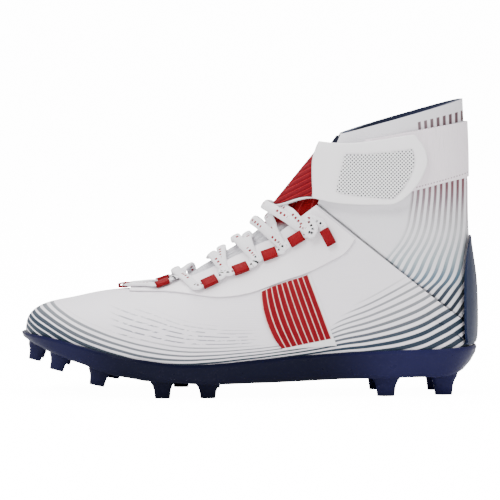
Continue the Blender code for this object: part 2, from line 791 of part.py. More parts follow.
def add_teeth(mesh):
    """Low teeth between the studs and the ridge behind the ball."""
    for tooth in TEETH:
        centre = Vector(((tooth.along - 0.5) * LAST_LENGTH,
                         centre_y(tooth.along) + tooth.turn * BALL_WIDTH,
                         under_z(tooth.along)))
        rings = []
        for drop, share in ((-PLATE * 0.5, 1.0), (0.15 * tooth.height, 1.0), (tooth.height, 0.6)):
            place = centre + Vector((0, 0, -drop))
            rings.append(round_box(place, Vector((1, 0, 0)), Vector((0, 1, 0)),
                                   tooth.length * share, tooth.width * share, points=6))
        loft(mesh, rings)


def build_outsole():
    """Plate with its studs and teeth joined on."""
    outsole = build_plate()
    for name, add in (("stud_tool", add_studs), ("tooth_tool", add_teeth)):
        mesh = bmesh.new()
        add(mesh)
        bmesh.ops.recalc_face_normals(mesh, faces=mesh.faces)
        tool = add_object(name, mesh, NAVY_PLATE)
        tool.hide_render = True
        tool.display_type = "WIRE"
        union = outsole.modifiers.new(name, "BOOLEAN")
        union.operation = "UNION"
        union.solver = "EXACT"
        union.object = tool
    return outsole


def build_insole():
    """Footbed on the floor of the sole, inside the margin of the upper."""
    alongs = foot_stations()
    ring = Ring(alongs)
    loops = []
    for i, along in enumerate(alongs):
        edges = []
        for side in (LATERAL, MEDIAL):
            edge = []
            for lift in (GAP, GAP + INSOLE):
                depth = floor_depth(along, lift)
                slope = 2 * UNDERCUT * OUTLINE_AT["undercut"](along) / side_height(along)
                clear = (UPPER_WALL + 2 * GAP) * sqrt(1 + slope * slope)
                z = under_z(along) + PLATE + lift
                edge.append(ring.at(i, side, -tuck_in(along, depth) - clear, z))
            edges.append(edge)
        lateral, medial = edges
        top = [lateral[1].lerp(medial[1], 0.5)]
        bottom = [medial[0].lerp(lateral[0], 0.5)]
        loops.append(lateral + top + medial[::-1] + bottom)
    mesh = bmesh.new()
    grid = [[mesh.verts.new(point) for point in loop] for loop in loops]
    count = len(loops[0])
    for i in range(len(loops) - 1):
        for j in range(count):
            k = (j + 1) % count
            mesh.faces.new((grid[i][j], grid[i + 1][j], grid[i + 1][k], grid[i][k]))
    bmesh.ops.remove_doubles(mesh, verts=mesh.verts, dist=WELD)
    bmesh.ops.dissolve_degenerate(mesh, dist=WELD, edges=mesh.edges)
    bmesh.ops.recalc_face_normals(mesh, faces=mesh.faces)
    return add_object("insole", mesh, GREY_MESH)


def side_name(side):
    """Word for a side in a name."""
    return "lateral" if side < 0 else "medial"


def build_eyestay(side):
    """Overlay along one side of the throat, up to the quarter's seam."""
    edge = Column(EYESTAY_EDGE, "drop")
    stations = [station for station in foot_stations() if station >= THROAT and station < 0.9]
    stations += [.942, 1.0, 1.055]
    rows = []
    for station in stations:
        ups = side_ups(station, side, 1 - edge(station), 1 - SECTION_AT["throat"](station) - 0.004, 4)
        rows.append([surface(station, up, side) for up in ups])
    return add_wall("eyestay_" + side_name(side), rows, OVERLAY_LIFT + EYESTAY_WALL, OVERLAY_LIFT, WHITE_SYNTHETIC)


def build_panel(side):
    """Stretch panel with raised ribs between a flat frame."""
    front, back = Column(PANEL_EDGES, "front"), Column(PANEL_EDGES, "back")
    ups = [.065, .09, .20, .32, .43, .55, .575]
    shares = [0.0, 0.08] + [mix(0.08, 0.92, i / (2 * RIBS)) for i in range(1, 2 * RIBS)] + [0.92, 1.0]
    rows = []
    for up in ups:
        rise = PANEL_RISE * (up - ups[0]) / (ups[-1] - ups[0])
        rows.append([surface(mix(front(up), back(up), share), up + rise * share, side) for share in shares])

    def outer(i, j):
        raised = 0 < i < len(ups) - 1 and 1 < j < len(shares) - 2 and j % 2 == 0
        return OVERLAY_LIFT + PANEL_WALL + (RIB_HEIGHT if raised else 0.0)

    return add_wall("stretch_panel_" + side_name(side), rows, outer, OVERLAY_LIFT, RED_RIB)


def build_counter():
    """Moulded heel counter, tapering upwards, with a ridge down its middle."""
    reach = Column(COUNTER, "reach")
    stations = [row.station for row in COUNTER[:3]] + [1.04, 1.09, 1.17, 1.26, 1.34, 1.40, 1.44]
    lowest = 0.012
    taper_start = 1.22
    shares = [1.0, 0.55, 0.22, 0.0]
    rows = []
    for station in stations:
        low = lowest if station < 1 else 0.0
        side_rows = [[surface(station, mix(low, max(reach(station), low * 2), share), side) for share in shares]
                     for side in (LATERAL, MEDIAL)]
        rows.append(side_rows[0] + side_rows[1][::-1])
    last = len(shares) - 1

    def kept(i, j):
        return j != last

    def outer(i, j):
        ridge = COUNTER_RIDGE if j in (last, last + 1) and stations[i] > 1 else 0.0
        taper = smooth((stations[i] - taper_start) / (stations[-1] - taper_start))
        return OVERLAY_LIFT + mix(COUNTER_WALL + ridge, COUNTER_TIP, taper)

    return add_wall("heel_counter", rows, outer, OVERLAY_LIFT, NAVY_RUBBER, kept)


def build_band():
    """Elastic ankle band from under the closing tab round the heel to the inner side."""
    low, high = Column(BAND_EDGES, "low"), Column(BAND_EDGES, "high")
    spread = [1.0, .86, .72, .58, .44, .30, .19, .10, .04, 0.0]
    turns = [(LATERAL, BAND_LATERAL_END * share) for share in spread]
    turns += [(MEDIAL, BAND_MEDIAL_END * share) for share in spread[::-1][1:]]
    rows = []
    for share in (0.0, 0.33, 0.67, 1.0):
        rows.append([surface(mix(low(up), high(up), share), up, side) for side, up in turns])
    inner = -SHAFT_SINK + GAP + 0.0001
    return add_wall("strap_band", rows, inner + BAND_WALL, inner, WHITE_ELASTIC)


def strap_turns():
    """Turns of the front strap's columns, close together over the shin."""
    return [-.160, -.125, -.090, -.062, -.040, -.020, -.008, 0.0, .008, .020, .040, .070, .10, .14, .18, .225, .27]


def strap_inner(turn):
    """Height of the front strap's underside, which stands off over the shin."""
    stand_off = STRAP_STAND_OFF * (1 - smooth(abs(turn) / 0.10))
    return -SHAFT_SINK + GAP + 0.0001 + stand_off


def build_strap_front():
    """Ribbed front strap over the shin, from under the tab to the band's inner end."""
    turns = strap_turns()
    low, high = Column(STRAP_EDGES, "low"), Column(STRAP_EDGES, "high")
    rows = []
    for share in (0.0, 0.33, 0.67, 1.0):
        rows.append([by_turn(mix(low(turn) + 0.014, high(turn), share), turn) for turn in turns])
    return add_wall("strap_front", rows, lambda i, j: strap_inner(turns[j]) + STRAP_WALL,
                    lambda i, j: strap_inner(turns[j]), RED_RIB)


def build_binding():
    """Bound lower edge of the front strap."""
    low = Column(STRAP_EDGES, "low")
    turns = strap_turns()
    width = BINDING_WIDTH / LAST_LENGTH
    rows = []
    for share in (0.0, 1.0):
        rows.append([by_turn(low(turn) + width * share, turn) for turn in turns])
    return add_wall("strap_edge_binding", rows, lambda i, j: strap_inner(turns[j]) + STRAP_WALL + 0.0003,
                    lambda i, j: strap_inner(turns[j]), WHITE_ELASTIC)


def tab_point(share, forward):
    """Point under the tab by share of its height and share from its back to its front edge."""
    at = {name: Column(TAB_EDGES, name)(share) for name in TabEdge._fields[1:]}
    station = mix(at["back_station"], at["front_station"], forward) + at["bow"] * 4 * forward * (1 - forward)
    drop = mix(at["back_drop"], at["front_drop"], forward)
    return surface(station, 1 - drop, LATERAL)


def tab_lift(share, forward):
    """Height of the tab's underside over the ankle; its upper front corner stands off."""
    band_top = -SHAFT_SINK + GAP + 0.0001 + BAND_WALL
    return band_top + GAP + 0.0002 + TAB_STAND_OFF * smooth((forward - 0.35) / 0.65) * smooth(share)


def build_tab():
    """Moulded closing tab with a raised frame round a recess."""
    shares = [0.0, 0.10, 0.16, 0.35, 0.52, 0.68, 0.84, 0.90, 1.0]
    forwards = [0.0, 0.07, 0.11, 0.3, 0.5, 0.7, 0.78, 0.82, 0.91, 1.0]
    rows = [[tab_point(share, forward) for forward in forwards] for share in shares]

    def outer(i, j):
        inside = 1 < i < len(shares) - 2 and 1 < j < 7
        return tab_lift(shares[i], forwards[j]) + TAB_WALL - (TAB_RECESS if inside else 0.0)

    def inner(i, j):
        return tab_lift(shares[i], forwards[j])

    return add_wall("strap_tab", rows, outer, inner, WHITE_MOULDED)


def build_inlay():
    """Mesh inlay in the tab's recess."""
    shares = [0.18, 0.35, 0.52, 0.68, 0.82]
    forwards = [0.125, 0.3, 0.5, 0.7, 0.765]
    rows = [[tab_point(share, forward) for forward in forwards] for share in shares]

    def inner(i, j):
        return tab_lift(shares[i], forwards[j]) + TAB_WALL - TAB_RECESS + GAP + 0.0002

    def outer(i, j):
        return inner(i, j) + INLAY_WALL

    return add_wall("strap_tab_inlay", rows, outer, inner, SILVER_MESH)


def seat(station, drop, side):
    """Place on an eyestay: point, outward direction, direction along the throat and towards the crest."""
    up = 1 - drop
    point = surface(station, up, side)
    normal = outward(station, up, side)
    along = (surface(station + SLOPE_STEP, up, side) - surface(station - SLOPE_STEP, up, side)).normalized()
    along = (along - normal * along.dot(normal)).normalized()
    return point, normal, along, normal.cross(along) * -side


def build_loop(name, loop, side, lift):
    """Flattened webbing tunnel, open at both ends for the lace."""
    point, normal, along, over = seat(loop.station, loop.drop, side)
    c, s = cos(radians(loop.turn)), sin(radians(loop.turn))
    along, over = along * c + over * s, over * c - along * s
    middle = point + normal * (lift + loop.height / 2)
    mesh = bmesh.new()
    points = 6
    rings = []
    for end, shrink in ((-0.5, 0.0), (0.5, 0.0), (0.5, LOOP_WALL), (-0.5, LOOP_WALL)):
        centre = middle + along * (loop.length * end)
        ring = round_box(centre, over, normal, loop.width - 2 * shrink, loop.height - 2 * shrink, points)
        rings.append([mesh.verts.new(place) for place in ring])
    for a, b in zip(rings, rings[1:] + rings[:1]):
        for j in range(points):
            k = (j + 1) % points
            mesh.faces.new((a[j], a[k], b[k], b[j]))
    bmesh.ops.recalc_face_normals(mesh, faces=mesh.faces)
    return add_object(name, mesh, RED_WEBBING)


def station_rate(station, up, side):
    """Metres that a whole station measures along the shoe at a place."""
    step = 0.002
    return (surface(station + step, up, side) - surface(station - step, up, side)).length / (2 * step)


def lace_end(loop, side, heelward):
    """Station and length from the crest where a run of lace meets one end of a loop, a turned one at its top."""
    c, s = cos(radians(loop.turn)), sin(radians(loop.turn))
    path = Path(loop.station, side)
    reach = path.length_at(1 - loop.drop) - (loop.width * c + loop.length * s) / 2 - 2 * GAP
    shift = c * loop.length / 2 / station_rate(loop.station, path.up_at(reach), side)
    return loop.station + (shift if heelward or loop.turn else -shift), reach


def lace_row(centres, length, side, slope):
    """Points across one or two runs of lace at a length from the crest."""
    middle = sum(centres) / len(centres)
    path = Path(middle, side)
    up = path.up_at(length)
    half = LACE_WIDTH / 2 * sqrt(1 + slope * slope) / station_rate(middle, up, side)
    low, high = centres[0], centres[-1]
    stations = [low - half, min(low + half, middle), max(high - half, middle), high + half]
    return [surface(station, Path(station, side).up_at(length), side) for station in stations]


def build_crossing(name, low_loop, high_loop):
    """Two runs of lace crossing over the tongue, joined where they cross."""
    ends = {}
    for side in (LATERAL, MEDIAL):
        ends[side] = lace_end(low_loop, side, True) + lace_end(high_loop, side, False)
    crossing = (low_loop.station + high_loop.station) / 2 - (CROSSING_FALL if high_loop.turn else 0.0)
    rows = []
    for side in (LATERAL, MEDIAL):
        low, low_reach, high, high_reach = ends[side]
        reach = min(low_reach, high_reach)
        slope = (high - low) / 2 * station_rate(crossing, 0.98, side) / reach
        column = []
        for i in range(LACE_CELLS + 1):
            share = i / LACE_CELLS
            centres = (mix(crossing, low, share), mix(crossing, high, share))
            column.append(lace_row(centres, reach * share, side, slope))
        rows.append(column)
    grid = rows[0][::-1] + rows[1][1:]
    return add_wall(name, grid, LACE_LIFT + LACE_WALL, LACE_LIFT, WHITE_LACE, lambda i, j: j != 1)


def build_toe_lace():
    """Run of lace from the first loop of one side through the toe loop to the other side."""
    straight = TOE_LOOP.width / 2
    lift = 2 * GAP + LOOP_WALL + GAP
    rows = []
    for side in (LATERAL, MEDIAL):
        end, reach = lace_end(LOOPS[0], side, False)
        column = []
        for length in [straight * share for share in (0.0, 0.5, 1.0)] + [mix(straight, reach, i / 4) for i in (1, 2, 3, 4)]:
            share = max(0.0, (length - straight) / (reach - straight))
            centre = mix(TOE_LOOP.station, end, share)
            up = Path(centre, side).up_at(length)
            half = TOE_LACE_WIDTH / 2 / station_rate(centre, up, side)
            column.append([surface(station, Path(station, side).up_at(length), side)
                           for station in (centre - half, centre + half)])
        rows.append(column)
    grid = rows[0][::-1] + rows[1][1:]

    def inner(i, j):
        return lift if abs(i - len(grid) // 2) < 3 else LACE_LIFT

    return add_wall("lace_toe", grid, lambda i, j: inner(i, j) + TOE_LACE_WALL, inner, WHITE_LACE)


def build_laces():
    """Loops up both sides of the throat and the lace's runs between them."""
    things = [build_loop("lace_loop_toe", TOE_LOOP, MEDIAL, GAP)]
    lift = OVERLAY_LIFT + EYESTAY_WALL + 2.5 * GAP
    for side in (LATERAL, MEDIAL):
        for number, loop in enumerate(LOOPS, 1):
            things.append(build_loop(f"lace_loop_{side_name(side)}_{number}", loop, side, lift))
    things.append(build_toe_lace())
    for number in range(1, len(LOOPS)):
        things.append(build_crossing(f"lace_cross_{number}", LOOPS[number - 1], LOOPS[number]))
    return things


def centre_on_ground(things):
    """Move everything so that the middle of the shoe's ground box is the origin."""
    bpy.context.view_layer.update()
    corners = []
    for thing in things:
        corners += [thing.matrix_world @ Vector(corner) for corner in thing.bound_box]
    low = Vector([min(corner[k] for corner in corners) for k in range(3)])
    high = Vector([max(corner[k] for corner in corners) for k in range(3)])
    frame = bpy.data.objects.new("shoe", None)
    bpy.context.scene.collection.objects.link(frame)
    for thing in bpy.context.scene.objects:
        if thing.type == "MESH":
            thing.parent = frame
    frame.location = (-(low.x + high.x) / 2, -(low.y + high.y) / 2, 0.0)


def main():
    """Build the shoe from the ground up."""
    for thing in list(bpy.data.objects):
        bpy.data.objects.remove(thing)
    things = [build_outsole(), build_insole(), build_upper(), build_shaft(), build_tongue()]
    for side in (LATERAL, MEDIAL):
        things += [build_eyestay(side), build_panel(side)]
    things += [build_counter(), build_band(), build_strap_front(), build_binding()]
    things += [build_tab(), build_inlay()]
    things += build_laces()
    centre_on_ground(things)


main()
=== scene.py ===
"""Looks of the american football cleat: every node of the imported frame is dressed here.

Metres, +Z up, in the frame's own axes: toe at -X, outer side of the foot at -Y.
"""

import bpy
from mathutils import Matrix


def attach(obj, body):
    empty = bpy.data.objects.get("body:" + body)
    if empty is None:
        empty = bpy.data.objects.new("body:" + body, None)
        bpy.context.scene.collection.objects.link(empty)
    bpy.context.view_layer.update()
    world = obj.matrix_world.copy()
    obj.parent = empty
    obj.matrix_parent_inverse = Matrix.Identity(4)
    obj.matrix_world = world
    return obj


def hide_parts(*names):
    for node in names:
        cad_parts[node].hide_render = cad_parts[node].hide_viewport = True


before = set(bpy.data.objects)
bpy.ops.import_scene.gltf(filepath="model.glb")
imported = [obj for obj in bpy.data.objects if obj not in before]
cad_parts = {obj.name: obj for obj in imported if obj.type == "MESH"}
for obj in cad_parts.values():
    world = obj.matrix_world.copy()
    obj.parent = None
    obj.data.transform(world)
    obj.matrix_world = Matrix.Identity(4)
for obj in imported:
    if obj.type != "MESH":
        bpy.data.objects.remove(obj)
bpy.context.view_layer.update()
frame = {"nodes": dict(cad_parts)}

import logging
from dataclasses import dataclass
from enum import Enum
from math import cos, pi, radians, sin
from typing import Callable, Sequence, Union

import bpy
import numpy as np
from mathutils import Vector
from mathutils.bvhtree import BVHTree

log = logging.getLogger("cleat")

Colour = tuple[float, float, float]
Input = Union[bpy.types.NodeSocket, float, tuple]

# Photo pixels of the 500 by 500 frame to metres on the outer side of the shoe
PIXEL = 0.0006576
MIDDLE_COLUMN = 250.4
GROUND_ROW = 396.0
# Spans that the printed lines' curves are drawn over
HALF_LENGTH = 0.151
TALL = 0.2


def at_column(column: float) -> float:
    """X in metres of a column of the 500 pixel photo."""
    return (column - MIDDLE_COLUMN) * PIXEL


def at_row(row: float) -> float:
    """Z in metres of a row of the 500 pixel photo, on the outer side of the shoe."""
    return (GROUND_ROW - row) * PIXEL


class Side(Enum):
    """Sides of the foot."""

    LATERAL = -1
    MEDIAL = 1

    @property
    def word(self) -> str:
        """Name of the side in node names."""
        return self.name.lower()


class Graph:
    """Builder for one shader node tree."""

    def __init__(self, tree: bpy.types.NodeTree) -> None:
        """Start on a tree.

        Args:
            tree: Node tree of a material or a group.
        """
        self.tree = tree

    def feed(self, socket: bpy.types.NodeSocket, value: Input) -> None:
        """Link a socket into another, or set its value.

        Args:
            socket: Input to fill.
            value: Output socket, number or colour.
        """
        if isinstance(value, bpy.types.NodeSocket):
            self.tree.links.new(value, socket)
        elif isinstance(value, tuple) and len(value) == 3 and socket.type == "RGBA":
            socket.default_value = (*value, 1.0)
        else:
            socket.default_value = value

    def node(self, kind: str, **inputs: Input) -> bpy.types.Node:
        """Add a node and fill its inputs.

        Args:
            kind: Type name of the node without its ShaderNode prefix.
            inputs: Values by input name, with underscores for spaces.

        Returns:
            The node.
        """
        node = self.tree.nodes.new("ShaderNode" + kind)
        for name, value in inputs.items():
            self.feed(node.inputs[name.replace("_", " ")], value)
        return node

    def math(self, operation: str, a: Input, b: Input = 0.0, c: Input = 0.0,
             clamp: bool = False) -> bpy.types.NodeSocket:
        """Add a math node.

        Args:
            operation: Name of the operation.
            a: First value.
            b: Second value.
            c: Third value.
            clamp: Whether the result is held between 0 and 1.

        Returns:
            The result.
        """
        node = self.tree.nodes.new("ShaderNodeMath")
        node.operation = operation
        node.use_clamp = clamp
        self.feed(node.inputs[0], a)
        self.feed(node.inputs[1], b)
        self.feed(node.inputs[2], c)
        return node.outputs[0]

    def times(self, first: Input, *others: Input) -> bpy.types.NodeSocket:
        """Product of values."""
        for other in others:
            first = self.math("MULTIPLY", first, other)
        return first

    def plus(self, a: Input, b: Input) -> bpy.types.NodeSocket:
        """Sum of two values."""
        return self.math("ADD", a, b)

    def minus(self, a: Input, b: Input) -> bpy.types.NodeSocket:
        """Difference of two values."""
        return self.math("SUBTRACT", a, b)

    def step(self, value: Input, low: float, high: float) -> bpy.types.NodeSocket:
        """Soft step from 0 at low to 1 at high; low may be the larger one.

        Args:
            value: Value to grade.
            low: Value that gives 0.
            high: Value that gives 1.

        Returns:
            The graded value.
        """
        node = self.tree.nodes.new("ShaderNodeMapRange")
        node.interpolation_type = "SMOOTHSTEP"
        self.feed(node.inputs["Value"], value)
        for name, number in (("From Min", low), ("From Max", high), ("To Min", 0.0), ("To Max", 1.0)):
            node.inputs[name].default_value = number
        return node.outputs["Result"]

    def curve(self, value: Input, points: Sequence[tuple[float, float]]) -> bpy.types.NodeSocket:
        """Smooth curve through points whose coordinates lie between 0 and 1.

        Args:
            value: Place along the curve.
            points: Rows of place and value.

        Returns:
            The curve's value.
        """
        node = self.tree.nodes.new("ShaderNodeFloatCurve")
        line = node.mapping.curves[0]
        ordered = sorted(points)
        while len(line.points) < len(ordered):
            line.points.new(0.5, 0.5)
        for point, (place, height) in zip(line.points, ordered):
            point.location = (place, height)
        node.mapping.update()
        self.feed(node.inputs["Value"], value)
        return node.outputs[0]

    def ramp(self, value: Input, stops: Sequence[tuple[float, Colour]]) -> bpy.types.NodeSocket:
        """Colour ramp.

        Args:
            value: Place along the ramp.
            stops: Rows of place and colour.

        Returns:
            The colour.
        """
        node = self.tree.nodes.new("ShaderNodeValToRGB")
        elements = node.color_ramp.elements
        while len(elements) < len(stops):
            elements.new(0.5)
        for element, (place, colour) in zip(elements, stops):
            element.position = place
            element.color = (*colour, 1.0)
        self.feed(node.inputs[0], value)
        return node.outputs[0]

    def mix(self, share: Input, a: Input, b: Input) -> bpy.types.NodeSocket:
        """Mix two colours.

        Args:
            share: Share of the second colour.
            a: First colour.
            b: Second colour.

        Returns:
            The mixed colour.
        """
        node = self.tree.nodes.new("ShaderNodeMix")
        node.data_type = "RGBA"
        # A Mix node's colour sockets are its seventh and eighth, and its colour output is its third
        self.feed(node.inputs[0], share)
        self.feed(node.inputs[6], a)
        self.feed(node.inputs[7], b)
        return node.outputs[2]

    def place(self) -> tuple[bpy.types.NodeSocket, bpy.types.NodeSocket, bpy.types.NodeSocket]:
        """Object coordinates.

        Returns:
            X, Y and Z in metres.
        """
        coordinates = self.tree.nodes.new("ShaderNodeTexCoord")
        split = self.node("SeparateXYZ", Vector=coordinates.outputs["Object"])
        return split.outputs[0], split.outputs[1], split.outputs[2]

    def noise(self, scale: float, detail: float = 3.0, stretch: Colour = (1, 1, 1)) -> bpy.types.NodeSocket:
        """Noise on the object coordinates.

        Args:
            scale: Features per metre.
            detail: Octaves.
            stretch: Extra scale along each axis.

        Returns:
            Noise from 0 to 1.
        """
        coordinates = self.tree.nodes.new("ShaderNodeTexCoord")
        mapping = self.node("Mapping", Vector=coordinates.outputs["Object"])
        mapping.inputs["Scale"].default_value = stretch
        node = self.node("TexNoise", Vector=mapping.outputs[0], Scale=scale, Detail=detail)
        return node.outputs[0]

    def attribute(self, name: str) -> bpy.types.NodeSocket:
        """Value of a float attribute of the mesh."""
        node = self.tree.nodes.new("ShaderNodeAttribute")
        node.attribute_name = name
        return node.outputs["Fac"]

    def group(self, group: bpy.types.NodeTree, **inputs: Input) -> bpy.types.NodeSocket:
        """Add a shared group and return its one output.

        Args:
            group: The shared group.
            inputs: Values by input name.

        Returns:
            The group's output.
        """
        node = self.tree.nodes.new("ShaderNodeGroup")
        node.node_tree = group
        for name, value in inputs.items():
            self.feed(node.inputs[name], value)
        return node.outputs[0]


def new_group(name: str, inputs: Sequence[str], outputs: Sequence[str],
              fill: Callable[[Graph, dict], dict]) -> bpy.types.NodeTree:
    """Shared node group of plain values.

    Args:
        name: Name of the group.
        inputs: Names of its inputs.
        outputs: Names of its outputs.
        fill: Function that builds the group from its inputs and returns its outputs.

    Returns:
        The group.
    """
    tree = bpy.data.node_groups.new(name, "ShaderNodeTree")
    for word in inputs:
        tree.interface.new_socket(name=word, in_out="INPUT", socket_type="NodeSocketFloat")
    for word in outputs:
        tree.interface.new_socket(name=word, in_out="OUTPUT", socket_type="NodeSocketFloat")
    graph = Graph(tree)
    start = tree.nodes.new("NodeGroupInput")
    end = tree.nodes.new("NodeGroupOutput")
    for word, value in fill(graph, {word: start.outputs[word] for word in inputs}).items():
        graph.feed(end.inputs[word], value)
    return tree


def fill_weave(graph: Graph, given: dict) -> dict:
    """Crossed threads at a pitch in metres: Height from 0 to 1."""
    x, y, z = graph.place()
    turns = graph.math("DIVIDE", 2 * pi, given["Pitch"])
    along = graph.math("SINE", graph.times(graph.plus(x, y), turns))
    across = graph.math("SINE", graph.times(graph.minus(z, y), turns))
    crossed = graph.times(along, across)
    return {"Height": graph.math("MULTIPLY_ADD", crossed, 0.5, 0.5)}


def fill_lines(graph: Graph, given: dict) -> dict:
    """Lines at whole numbers of Place with a dark share of Duty: Mask is 1 in the dark."""
    phase = graph.math("FRACT", given["Place"])
    distance = graph.times(graph.math("ABSOLUTE", graph.minus(phase, 0.5)), 2.0)
    edge = graph.minus(given["Duty"], distance)
    return {"Mask": graph.math("MULTIPLY_ADD", edge, 5.0, clamp=True)}


def fill_rib(graph: Graph, given: dict) -> dict:
    """Rounded ribs at whole numbers of Place: Height from 0 to 1."""
    wave = graph.math("SINE", graph.times(given["Place"], pi))
    return {"Height": graph.math("ABSOLUTE", wave)}


WEAVE = new_group("weave", ["Pitch"], ["Height"], fill_weave)
LINES = new_group("lines", ["Place", "Duty"], ["Mask"], fill_lines)
RIB = new_group("rib", ["Place"], ["Height"], fill_rib)


@dataclass(frozen=True)
class Finish:
    """Finish of one material: a colour, its gloss and a fine relief."""

    name: str
    colour: Colour
    roughness: float = 0.6
    gloss: float = 0.3
    coat: float = 0.0
    sheen: float = 0.0
    pitch: float = 0.0008
    relief: float = 0.00012
    mottle: float = 0.05
    coat_roughness: float = 0.12
    wear: float = 0.16

    def colour_of(self, graph: Graph) -> Input:
        """Base colour.

        Args:
            graph: Builder of the material's tree.

        Returns:
            A colour or a colour socket.
        """
        return self.varied(graph, self.colour)

    def varied(self, graph: Graph, colour: Input) -> bpy.types.NodeSocket:
        """Colour with a slight uneven tone.

        Args:
            graph: Builder of the material's tree.
            colour: Even colour.

        Returns:
            The varied colour.
        """
        node = graph.tree.nodes.new("ShaderNodeHueSaturation")
        cloud = graph.noise(60, 4)
        swing = graph.times(graph.minus(cloud, 0.5), 2 * self.mottle)
        graph.feed(node.inputs["Value"], graph.plus(swing, 1.0))
        graph.feed(node.inputs["Color"], colour)
        return node.outputs[0]

    def height_of(self, graph: Graph) -> Input:
        """Relief in shares of its depth.

        Args:
            graph: Builder of the material's tree.

        Returns:
            Height socket.
        """
        weave = graph.group(WEAVE, Pitch=self.pitch)
        grain = graph.noise(900, 2)
        return graph.plus(weave, graph.times(grain, 0.6))

    def make(self) -> bpy.types.Material:
        """Build the material.

        Returns:
            The material, made once for each name.
        """
        material = bpy.data.materials.get(self.name)
        if material is not None:
            return material
        material = bpy.data.materials.new(self.name)
        material.use_nodes = True
        graph = Graph(material.node_tree)
        shader = material.node_tree.nodes["Principled BSDF"]
        graph.feed(shader.inputs["Base Color"], self.colour_of(graph))
        uneven = graph.times(graph.minus(graph.noise(140, 3), 0.5), self.wear)
        graph.feed(shader.inputs["Roughness"], graph.math("ADD", uneven, self.roughness, clamp=True))
        shader.inputs["Specular IOR Level"].default_value = self.gloss
        shader.inputs["Coat Weight"].default_value = self.coat
        shader.inputs["Coat Roughness"].default_value = self.coat_roughness
        shader.inputs["Sheen Weight"].default_value = self.sheen
        bump = graph.node("Bump", Height=self.height_of(graph), Distance=self.relief)
        graph.feed(shader.inputs["Normal"], bump.outputs[0])
        return material


@dataclass(frozen=True)
class Moulded(Finish):
    """Moulded plastic or rubber with a fine grain and shallow flow marks."""

    def height_of(self, graph: Graph) -> Input:
        """Grain without a weave."""
        grain = graph.noise(1500, 2)
        return graph.plus(grain, graph.times(graph.noise(90, 2), 1.5))


@dataclass(frozen=True)
class PlateGloss(Moulded):
    """Glossy plate whose navy is livelier at the heel and the toe."""

    lively: Colour = (0.011, 0.011, 0.050)

    def colour_of(self, graph: Graph) -> Input:
        """Nearly black navy at the arch, violet navy towards both ends."""
        x, _, _ = graph.place()
        heel = graph.step(x, 0.040, 0.105)
        toe = graph.times(graph.step(x, -0.080, -0.125), 0.6)
        return graph.mix(graph.math("MAXIMUM", heel, toe), self.varied(graph, self.colour), self.lively)


@dataclass(frozen=True)
class StripeRow:
    """Printed lines of the foot at one photo column: first line's row, spacing in rows, lines."""

    column: float
    row: float
    spacing: float
    lines: float


FOOT_STRIPES = [
    StripeRow(22, 304.0, 6.0, 3.2),
    StripeRow(30, 309.5, 6.3, 3.2),
    StripeRow(38, 314.5, 6.5, 3.3),
    StripeRow(48, 319.8, 6.5, 3.4),
    StripeRow(62, 327.7, 6.4, 3.5),
    StripeRow(80, 336.8, 6.2, 3.6),
    StripeRow(100, 344.3, 5.9, 3.6),
    StripeRow(120, 350.3, 5.6, 3.6),
    StripeRow(150, 357.0, 5.3, 4.0),
    StripeRow(180, 359.2, 4.4, 4.4),
    StripeRow(210, 358.2, 3.7, 4.6),
    StripeRow(240, 355.6, 3.2, 4.2),
    StripeRow(270, 352.6, 3.0, 3.6),
    StripeRow(316, 346.2, 3.4, 3.6),
    StripeRow(340, 341.0, 4.7, 5.8),
    StripeRow(370, 335.8, 6.1, 7.4),
    StripeRow(410, 324.5, 8.0, 6.8),
    StripeRow(440, 309.6, 9.0, 5.6),
    StripeRow(470, 292.0, 9.4, 4.0),
]

ShaftRow = tuple[float, float, float]
SHAFT_STRIPES: list[ShaftRow] = [
    # Row, column of the gap next to the heel, spacing in columns
    (100, 470.3, 6.4),
    (125, 470.3, 6.3),
    (180, 470.3, 5.7),
    (211, 470.0, 5.9),
    (235, 469.0, 6.4),
    (259, 464.8, 7.6),
    (279, 459.0, 8.5),
    (290, 450.6, 9.5),
    (303, 440.0, 10.0),
    (330, 415.0, 11.0),
]


SHAFT_TONES: list[tuple[float, Colour]] = [
    # Row, colour of the lines there
    (330, (0.004, 0.010, 0.020)),
    (303, (0.006, 0.015, 0.030)),
    (290, (0.022, 0.036, 0.058)),
    (277, (0.070, 0.130, 0.185)),
    (262, (0.26, 0.33, 0.37)),
    (235, (0.50, 0.51, 0.53)),
    (215, (0.34, 0.31, 0.33)),
    (200, (0.15, 0.085, 0.105)),
    (188, (0.11, 0.010, 0.020)),
    (120, (0.045, 0.0, 0.005)),
]


